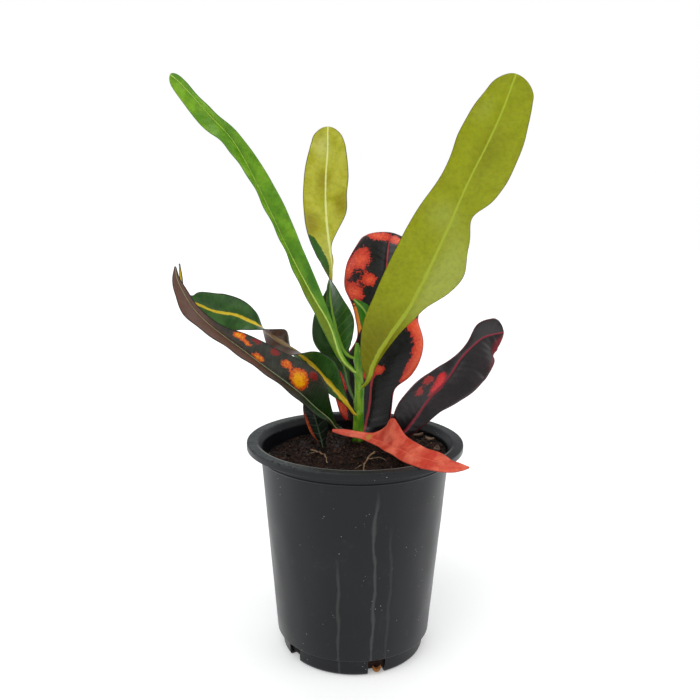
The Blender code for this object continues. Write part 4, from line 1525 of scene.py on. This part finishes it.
@dataclass(frozen=True)
class Studio:
    """Pale floor, soft lights and the camera in front of the plant."""

    floor_radius: float = 6.0
    eye: tuple[float, float, float] = (0.0, -0.4492, 0.2639)
    pitch: float = 0.1756
    roll: float = 0.0105
    yaw: float = -0.0080
    lens: float = 39.56
    sensor: float = 36.0

    def floor(self) -> None:
        """Lay a round pale floor."""
        bm = bmesh.new()
        bmesh.ops.create_circle(bm, cap_ends=True, segments=128, radius=self.floor_radius)
        bmesh.ops.translate(bm, verts=bm.verts, vec=(0.0, 0.0, -0.0002))
        floor = mesh_from("studio_floor", bm)
        sh = Shader("studio_floor")
        sh.set(Base_Color=(0.94, 0.94, 0.94, 1.0), Roughness=0.9, Specular_IOR_Level=0.0,
               Emission_Color=(1.0, 1.0, 1.0, 1.0), Emission_Strength=0.25)
        floor.data.materials.append(sh.material)

    def light(self, name: str, come_from: Vector, spread: float, power: float) -> None:
        """Add an even soft light from a direction; spread is its width in degrees.

        Args:
            name: The light's name.
            come_from: The direction that it shines from.
            spread: Its width in degrees.
            power: Its strength.
        """
        data = bpy.data.lights.new(name, "SUN")
        data.angle, data.energy = math.radians(spread), power
        lamp = bpy.data.objects.new(name, data)
        lamp.rotation_euler = (-come_from).to_track_quat("-Z", "Y").to_euler()
        bpy.context.scene.collection.objects.link(lamp)

    def sky(self) -> None:
        """Light the scene evenly, and show plain white behind it."""
        world = bpy.data.worlds.new("studio")
        world.use_nodes = True
        bpy.context.scene.world = world
        graph = Graph(world.node_tree)
        seen = graph.add("ShaderNodeLightPath").outputs["Is Camera Ray"]
        shown = graph.add("ShaderNodeBackground", Color=(1.0, 1.0, 1.0, 1.0), Strength=1.0)
        lit = graph.add("ShaderNodeBackground", Color=(0.97, 0.99, 1.0, 1.0), Strength=0.52)
        both = graph.add("ShaderNodeMixShader")
        graph.feed(both.inputs[0], seen)
        graph.feed(both.inputs[1], lit.outputs[0])
        graph.feed(both.inputs[2], shown.outputs[0])
        graph.feed(world.node_tree.nodes["World Output"].inputs["Surface"], both.outputs[0])

    def camera(self) -> None:
        """Set the camera at its place and angle."""
        sp, cp = math.sin(self.pitch), math.cos(self.pitch)
        sy, cy = math.sin(self.yaw), math.cos(self.yaw)
        ahead = Vector((sy * cp, cy * cp, -sp))
        right = Vector((cy, -sy, 0.0))
        up = right.cross(ahead)
        right, up = (right * math.cos(self.roll) + up * math.sin(self.roll),
                     up * math.cos(self.roll) - right * math.sin(self.roll))
        data = bpy.data.cameras.new("studio_camera")
        data.lens, data.sensor_width = self.lens, self.sensor
        data.clip_start = 0.01
        camera = bpy.data.objects.new("studio_camera", data)
        turned = Matrix((right, up, -ahead)).transposed().to_4x4()
        camera.matrix_world = Matrix.Translation(self.eye) @ turned
        bpy.context.scene.collection.objects.link(camera)
        bpy.context.scene.camera = camera

    def build(self) -> None:
        """Set up the floor, the lights and the camera."""
        self.camera()
        self.floor()
        self.sky()
        self.light("key_light", Vector((-0.45, -0.75, 1.25)), 50.0, 1.15)
        self.light("right_light", Vector((0.95, -0.35, 0.75)), 45.0, 0.55)
        self.light("back_light", Vector((0.1, 0.95, 0.95)), 60.0, 0.45)
        view = bpy.context.scene.view_settings
        view.view_transform, view.look = "Standard", "None"


STRAP_GREEN = LeafFinish(
    "leaf_strap_green", ("568a0a", "7cac20"), ("8ca020", "98a830"), ("b4d060", "a8c060"),
    0.08, "7cb050", 0.08, "3f7414", 0.02, tint="6c8006", shade="2c6a10", roughness=0.33)
OLIVE = LeafFinish(
    "leaf_olive", ("1a4600", "265c04"), ("bcbc3c", "a9a812"), ("7ca834", "e0e48c"),
    0.12, "c4c670", 0.12, "34380c", 0.035, fleck="265804", tint="958a00", shade="c4c464",
    roughness=0.38, glow=0.12, toned_below=True)
YELLOW_GREEN = LeafFinish(
    "leaf_yellow_green", ("44701a", "557f20"), ("8e9600", "969e0c"), ("a8bc48", "a4b22e"),
    0.16, "a2a83c", 0.07, "4c5008", 0.02, tint="a2ac44", shade="7a7a00",
    roughness=0.48, glow=0.14, gloss=0.16, toned_below=True)
DARK_CORAL = LeafFinish(
    "leaf_dark_coral", ("121012", "1f1c1f"), ("4a1c20", "5c2a2a"), ("b8343c", "a83038"),
    0.10, "3c383a", 0.03, "b42c30", 0.045, ("f8623a", "d43a28"), "ee8c30",
    ragged=1.2, roughness=0.27, coat=0.40, glow=0.04)
DARK_GREEN = LeafFinish(
    "leaf_dark_green", ("1a3c0a", "2c4f1c"), ("3c4430", "4c4a38"), ("5c7a3c", "5c6a3c"),
    0.07, "4c6c3c", 0.08, "1c2410", 0.02, roughness=0.33)
YOUNG_GREEN = LeafFinish(
    "leaf_young_green", ("2c6c08", "408010"), ("5c8018", "6c8c20"), ("8cb040", "8cb040"),
    0.08, "5c9430", 0.10, "2c5c0c", 0.02, roughness=0.35)
MID_GREEN = LeafFinish(
    "leaf_mid_green", ("28501a", "406a2c"), ("4a3830", "5e463c"), ("dcc02c", "8c7450"),
    0.20, "5c8450", 0.12, "120e0a", 0.035, shade="2c1c14", roughness=0.32)
SPOTTED = LeafFinish(
    "leaf_spotted", ("26281c", "3a3a30"), ("4c342c", "604438"), ("98a070", "7c6a4c"),
    0.045, "54544a", 0.20, "120c0a", 0.03, ("f4aa00", "cc4a10"), "7c1a14", "1c3c12",
    "64463a", ragged=1.3, roughness=0.33)
LOW_GREEN = LeafFinish(
    "leaf_low_green", ("0c140c", "1c281a"), ("4c3a30", "5c4438"), ("4c5c44", "5c4c3c"),
    0.06, "7c847c", 0.30, "1c1c16", 0.02, ("d87838", "a84030"), roughness=0.28)
MAROON = LeafFinish(
    "leaf_maroon", ("161012", "241a1d"), ("4a1820", "5c222a"), ("80182a", "7c2030"),
    0.13, "3c3034", 0.03, "64101c", 0.035, ("d4161a", "941018"), "98201e", "740c18",
    ragged=1.2, roughness=0.25, coat=0.45, glow=0.04)
CORAL = LeafFinish(
    "leaf_coral", ("cc3f2e", "ee7458"), ("8c2018", "a83428"), ("e0604a", "b04038"),
    0.04, "b43026", 0.26, "b04434", 0.02, ("a8a030", "b87c38"),
    roughness=0.55, coat=0.0, glow=0.10)


SPOT, FLECK, TINT, SHADE = Patch.SPOT, Patch.FLECK, Patch.TINT, Patch.SHADE

LEAVES = (
    LeafBlade(
        "leaf_left_tall", "leaf_green", 0.723, 212.0, 2, True, STRAP_GREEN,
        (
            (-8.5, -3.5, 10, 2, 2, 0, 0), (-15.5, -6, 30, 2.5, 5.5, -10, 20),
            (-26.5, -8, 49, 6, 5.5, -30, 25), (-39.5, -8, 73, 8.5, 9, -50, 35),
            (-50.5, -7, 96, 9.5, 10, -50, 35), (-61.5, -5, 118, 8, 10, -45, 35),
            (-72.5, -3, 137, 5.5, 7, -15, 30), (-85.5, -1, 151, 5, 8, 20, 30),
            (-96.5, 0, 163, 4, 7, 25, 25), (-103.5, 1, 170, 3.5, 5.5, 20, 20),
            (-108.5, 1, 174, 0.5, 0.5, 10, 10),
        ),
        marks(TINT, (0.22, -0.5, 0.13, 0.6)) + marks(SHADE, (0.3, 0.7, 0.1, 0.6, 0.7)),
        0.1, 0.3, 0.9,
    ),
    LeafBlade(
        "leaf_mid_twisted", "leaf_olive", 0.854, 170.0, 2, True, OLIVE,
        (
            (-4.5, 0, 2.5, 1.6, 1.6, 0, 0), (-7.5, 1, 7.5, 7, 4, 0, 15),
            (-11.5, 3, 19.5, 12.5, 6, 5, 15), (-14.5, 6, 36.5, 11.5, 3, 45, 15),
            (-14.5, 9, 54.5, 11, 5, 105, 10), (-15.5, 11, 64.5, 10.5, 4, 145, 5),
            (-17.5, 15, 79.5, 13, 6.5, 170, 5), (-18.5, 18, 95.5, 14, 11.5, 180, 5),
            (-18.5, 20, 110.5, 13.5, 14, 180, 5), (-17.5, 21, 125.5, 11.5, 11.5, 180, 5),
            (-17.5, 21, 132.5, 9.5, 9.5, 180, 5), (-17.5, 21, 139.5, 1, 1, 180, 0),
        ),
        marks(FLECK, (0.47, 0.95, 0.05, 0.4), (0.415, 0.85, 0.045, 0.55),
                     (0.52, 1, 0.035, 0.25))
        + marks(TINT, (0.78, 0.1, 0.05, 0.35, 0.7), (0.6, 0.75, 0.05, 0.35, 0.9),
                      (0.68, -0.75, 0.05, 0.35, 0.8))
        + marks(SHADE, (0.92, 0.3, 0.05, 0.5, 0.7), (0.48, 0, 0.09, 0.7, 0.5)),
        0.08, 0.35, 0.9,
        (Swell(-1, 0.64, 3.5, 0.07), Swell(-1, 0.50, -3.0, 0.05), Swell(1, 0.30, 1.5, 0.10)),
    ),
    LeafBlade(
        "leaf_right_big", "leaf_yellow_green", 0.585, -41.0, 2, True, YELLOW_GREEN,
        (
            (3.5, -5, 6, 1.6, 1.6, 180, 0), (6.5, -9, 17, 9, 2.5, 180, 5),
            (14.5, -15, 33, 17.5, 4, 175, 10), (25.5, -21, 51, 21.5, 7.5, 175, 10),
            (35.5, -27, 73, 22, 17.5, 175, 10), (45.5, -34, 98, 20, 15, 180, 10),
            (54.5, -41, 122, 14.5, 17.5, 180, 10), (62.5, -46, 140, 16.5, 18.5, 185, 10),
            (68.5, -50, 155, 15, 16, 185, 10), (72.5, -52, 167, 11, 13, 185, 10),
            (75, -54, 175.5, 1, 1, 185, 0),
        ),
        # The tints paint the underside's paler yellow-green; by the notch this pale band is also
        # a painted highlight.
        marks(TINT, (0.42, -0.65, 0.13, 0.55), (0.6, 0.3, 0.05, 0.5, 0.5),
                    (0.9, 0.6, 0.05, 0.4, 0.4))
        + marks(SHADE, (0.12, 0, 0.14, 1.3), (0.8, -0.1, 0.09, 0.5, 0.5)),
        0.06, 0.5, 1.0,
        (Swell(-1, 0.62, -5.0, 0.045), Swell(-1, 0.44, 3.5, 0.07), Swell(-1, 0.72, 1.5, 0.06)),
    ),
    LeafBlade(
        "leaf_back_coral_dark", "leaf_dark_coral", 0.0846, 62.0, 1, True, DARK_CORAL,
        (
            (2.5, 4, 2.5, 8, 8, 0, 5), (3.5, 6, 6.5, 15, 17, 0, 10),
            (5.5, 9, 16.5, 14.5, 22, 0, 10), (6.5, 12, 29.5, 16, 23, 0, 10),
            (8.5, 15, 41.5, 26, 20.5, 0, 10), (10.5, 19, 56.5, 29.5, 14, 0, 10),
            (11.5, 23, 71.5, 25, 16.5, 0, 10), (13.5, 27, 85.5, 25.5, 25.5, 0, 10),
            (15.5, 31, 101.5, 27, 26.5, 0, 10), (16.5, 35, 114.5, 22, 21, 0, 10),
            (17.5, 37, 120.5, 16, 15.5, 0, 10), (18.5, 38, 125.5, 1, 1, 0, 0),
        ),
        marks(SPOT, (0.85, -0.72, 0.055, 0.26), (0.97, -0.5, 0.022, 0.5),
                    (0.965, 0.35, 0.02, 0.25), (0.68, -0.8, 0.045, 0.27),
                    (0.753, -0.38, 0.025, 0.15), (0.775, -0.98, 0.03, 0.1),
                    (0.55, 0.92, 0.045, 0.24), (0.46, 1, 0.06, 0.17), (0.38, 1, 0.05, 0.2),
                    (0.33, 0.97, 0.03, 0.14), (0.31, -0.14, 0.035, 0.16),
                    (0.335, 0.14, 0.022, 0.13), (0.25, -0.92, 0.055, 0.22),
                    (0.12, -0.92, 0.045, 0.22))
        + marks(FLECK, (0.56, -0.92, 0.055, 0.16)),
        0.1, 0.5, 0.8,
    ),
    LeafBlade(
        "leaf_back_left", "leaf_dark_green", 0.446, 165.0, 2, False, DARK_GREEN,
        (
            (-4, 4, 9, 1.5, 1.5, 0, 0), (-6, 7, 17, 3, 3, 0, 0), (-10, 10, 28, 7, 9, 0, 10),
            (-15, 11, 39, 9, 12, 0, 10), (-18, 11, 49, 8.5, 8.5, 0, 10),
            (-18, 11, 59, 5, 4, 0, 10), (-17, 11, 68, 0.6, 0.6, 0, 0),
        ),
        (), 0.1, 0.3, 0.6,
    ),
    LeafBlade(
        "leaf_young_tip", "leaf_green", 0.923, -8.0, 1, False, YOUNG_GREEN,
        (
            (4, -0.5, 3, 2, 2, 0, 5), (7, -0.5, 10, 5, 5, 0, 10), (5, -0.5, 18, 6, 6, 0, 10),
            (1, -0.5, 26, 4, 4, 0, 10), (-5, -0.5, 32, 0.6, 0.6, 0, 0),
        ),
        (), 0.12, 0.15, 0.5,
    ),
    LeafBlade(
        "leaf_left_upper", "leaf_mid_green", 0.308, 228.0, 2, False, MID_GREEN,
        (
            (-6, -3.5, 9, 2, 2, 0, 10), (-14, -5.5, 19, 7.5, 5, 0, 15),
            (-22, -7.5, 28, 12.5, 5, 0, 15), (-30, -9.5, 37, 11, 3.5, 25, 15),
            (-38, -11.5, 43, 8, 7, 90, 10), (-47, -13.5, 49, 6, 6, 180, 0),
            (-56, -14.5, 56, 6, 6, 270, 0), (-63, -15.5, 60, 7, 6, 335, 10),
            (-71, -17.5, 64, 10.5, 11, 360, 15), (-82, -19.5, 66, 12, 12, 360, 15),
            (-91, -21.5, 70, 9, 9, 360, 15), (-97, -23.5, 73, 4.5, 4.5, 360, 15),
            (-99.5, -25.5, 79, 1.4, 1.4, 360, 10), (-100, -26.5, 87, 0.8, 0.8, 360, 0),
            (-100.5, -27, 94, 0.5, 0.5, 360, 0),
        ),
        marks(SHADE, (0.85, -0.55, 0.05, 0.5), (0.93, 0.5, 0.03, 0.5, 0.8)),
        0.08, 0.3, 0.8,
        (Swell(1, 0.46, 1.4, 0.09), Swell(-1, 0.46, 1.4, 0.09)),
    ),
    LeafBlade(
        "leaf_left_spotted", "leaf_spotted", 0.0769, 215.0, 3, False, SPOTTED,
        (
            (-4.5, -2.5, 3.5, 1.6, 1.6, 0, 0), (-10.5, -6.5, 8.5, 1.7, 1.7, 0, 0),
            (-14.5, -11.5, 15, 3.5, 2.5, -15, 20), (-22.5, -16.5, 23, 11, 5.5, -30, 35),
            (-31.5, -21.5, 33, 17, 6, -30, 35), (-41.5, -25.5, 42, 16, 5.5, -30, 35),
            (-52.5, -28.5, 51, 13, 5.5, -30, 35), (-64.5, -31.5, 61, 10, 6.5, -30, 35),
            (-74.5, -33.5, 69, 5.5, 7, -30, 35), (-83.5, -35.5, 77, 3.5, 7, -25, 30),
            (-90.5, -36.5, 85, 3, 7.5, -20, 25), (-95.5, -37.5, 94, 2.5, 5, -10, 20),
            (-98.5, -37.5, 101, 1.8, 3, 0, 10), (-99.5, -37.5, 108, 0.5, 0.5, 0, 0),
        ),
        marks(SPOT, (0.65, 0.74, 0.022, 0.24), (0.606, 0.5, 0.018, 0.13, 0.8),
                    (0.545, 0.2, 0.024, 0.15), (0.45, 0.62, 0.02, 0.16, 0.85),
                    (0.385, 0.5, 0.03, 0.26), (0.36, 0.27, 0.026, 0.18))
        + marks(FLECK, (0.59, 0.86, 0.02, 0.15, 0.8), (0.51, 0.84, 0.022, 0.18, 0.8),
                       (0.345, 0.78, 0.022, 0.16, 0.8))
        + marks(TINT, (0.17, 0, 0.12, 1.3))
        + marks(SHADE, (0.66, -0.8, 0.2, 0.75), (0.88, 0, 0.12, 1.2)),
        0.1, 0.35, 0.6,
    ),
    LeafBlade(
        "leaf_low_front_left", "leaf_dark_green", None, None, 2, False, LOW_GREEN,
        (
            (0, 0, 0, 1.4, 1.4, 0, 0), (-1, 0, 6.5, 2, 2, 0, 0), (-3, 0, 14, 6, 5.5, 0, 10),
            (-5.5, 0, 23, 7.5, 6.5, 0, 10), (-8.5, 0, 31, 6, 5, 0, 10),
            (-11, 0, 38, 0.6, 0.6, 0, 0),
        ),
        marks(SPOT, (0.42, -1, 0.34, 0.32)), 0.1, 0.2, 0.5,
    ),
    LeafBlade(
        "leaf_right_dark", "leaf_maroon", 0.0923, -3.0, 3, True, MAROON,
        (
            (6.5, -1, -0.5, 1.6, 1.6, 0, 0), (14.5, -1.5, -0.5, 1.7, 1.7, 0, 0),
            (21.5, -1.5, 1, 2.5, 4, 0, 0), (26.5, -0.5, 4, 5, 12, 0, 10),
            (33.5, 1.5, 13, 8, 15, 0, 10), (40.5, 3.5, 23, 11.5, 14, 0, 10),
            (48.5, 6.5, 31, 15, 12, 0, 10), (54.5, 9.5, 38, 18.5, 9, 0, 10),
            (60.5, 12.5, 47, 20.5, 4, 0, 10), (68.5, 15.5, 55, 18.5, 4.5, 0, 10),
            (75.5, 18.5, 60, 15, 10.5, 0, 10), (82.5, 20.5, 62, 10, 10.5, 0, 10),
            (89, 21.5, 63, 1, 1, 0, 0),
        ),
        marks(SPOT, (0.545, -0.26, 0.045, 0.2), (0.5, -0.1, 0.05, 0.15),
                    (0.575, -0.45, 0.022, 0.12, 0.9))
        + marks(FLECK, (0.505, -0.72, 0.03, 0.2, 0.95), (0.435, -0.56, 0.024, 0.16, 0.8))
        + marks(TINT, (0.97, 0.8, 0.05, 0.35), (0.9, 1, 0.1, 0.15)),
        0.08, 0.3, 0.8,
    ),
    LeafBlade(
        "leaf_fallen_coral", "leaf_coral", None, None, 0, False, CORAL,
        (
            (-14, 6, 3, 1, 1, 30, 0), (-6, 6, 2, 2.5, 2, 40, -5), (4, 3, 1, 2.5, 2.5, 45, -5),
            (10, -2, 0.5, 3, 5, 50, 0), (14, -7, 0.5, 3.5, 12, 50, 10),
            (17, -12, 1, 4, 16, 50, 15), (21, -22, 1.8, 4.5, 11.5, 55, 10),
            (26, -30, 2.3, 5.5, 8.5, 60, 5), (33, -43, 3, 6.5, 8, 65, 0),
            (41, -52, 3.6, 7.5, 7.5, 70, 0), (48, -61, 3.9, 6, 5.5, 70, 0),
            (55, -63, 3.8, 3, 3, 65, 0), (60, -63, 3.7, 0.5, 0.5, 60, 0),
        ),
        marks(SPOT, (0.22, 0, 0.02, 0.6)), 0.05, 0.2, 0.35,
    ),
)

ROOTS = (
    ("surface_root_front",
     ((12, -5), (8.5, -16), (6, -25.5), (5, -34.5), (4.5, -43)),
     (((5, -30), (2.5, -33), (0, -34)), ((8, -18), (11, -20), (15, -19), (18, -21)))),
    ("surface_root_left",
     ((-27, 5), (-22, -2), (-18, -10), (-16, -20)),
     (((-23, -1), (-26, -3), (-29, -2)),)),
)

CHIPS = (
    ("bark_chip_back", 40, 28, (8, 4.5, 1.8), 20),
    ("bark_chip_mid", 47, 18, (6, 3.5, 1.8), -35),
    ("bark_chip_rim", 49, -3, (9, 4, 2.0), 75),
)

SCARS = ((0.32, -75), (0.14, -120), (0.52, -20))


def main() -> None:
    """Build the studio and then the plant, piece by piece."""
    logging.basicConfig(level=logging.INFO, format="%(name)s %(message)s")
    Studio().build()
    pot = NurseryPot()
    pot.build()
    level = pot.height - MIX_BELOW_RIM
    stem = Stem(level)
    mix = PottingMix(pot, level, stem.foot)
    mix.build()
    joints = []
    for leaf in LEAVES:
        if leaf.azimuth is not None:
            joint = (leaf.share, math.radians(leaf.azimuth))
            start = stem.attach(*joint)
            joints.append(joint)
        elif leaf.node == "leaf_fallen_coral":
            start = Vector((0.0, 0.0, pot.height))
        else:
            start = Vector((*STANDING_LEAF_FOOT, level - STANDING_LEAF_DEPTH))
        leaf.build(start)
    stem.build(joints)
    root = EarthFinish("root", "6c5440", "a08468", "c4ac8c", 600.0, 0.75).build()
    for node, line, sides in ROOTS:
        Root(node, line, sides).build(mix, root)
    bark = EarthFinish("bark", "44332a", "7a6250", "a08a74", 420.0, 0.85).build()
    for index, (node, x, y, size, turn) in enumerate(CHIPS):
        rest = max(mix.height(x * MM + dx * MM, y * MM + dy * MM)
                   for dx in (-2, 0, 2) for dy in (-2, 0, 2))
        BarkChip(node, Vector((x * MM, y * MM, rest)), size, turn, 3.1 * index).build(bark)
    reach = pot.body_foot - pot.foot_step - pot.wall + SLOT_CHIP_SIZE[1] * MM / 2
    place = polar(reach, math.radians(pot.slot_first), pot.floor)
    bright = EarthFinish("bark_slot", "5c3418", "9a6430", "c89458", 420.0, 0.8).build()
    BarkChip("bark_chip_slot", place, SLOT_CHIP_SIZE, pot.slot_first + 90.0, 17.0).build(bright)


if __name__ == "__main__":
    main()
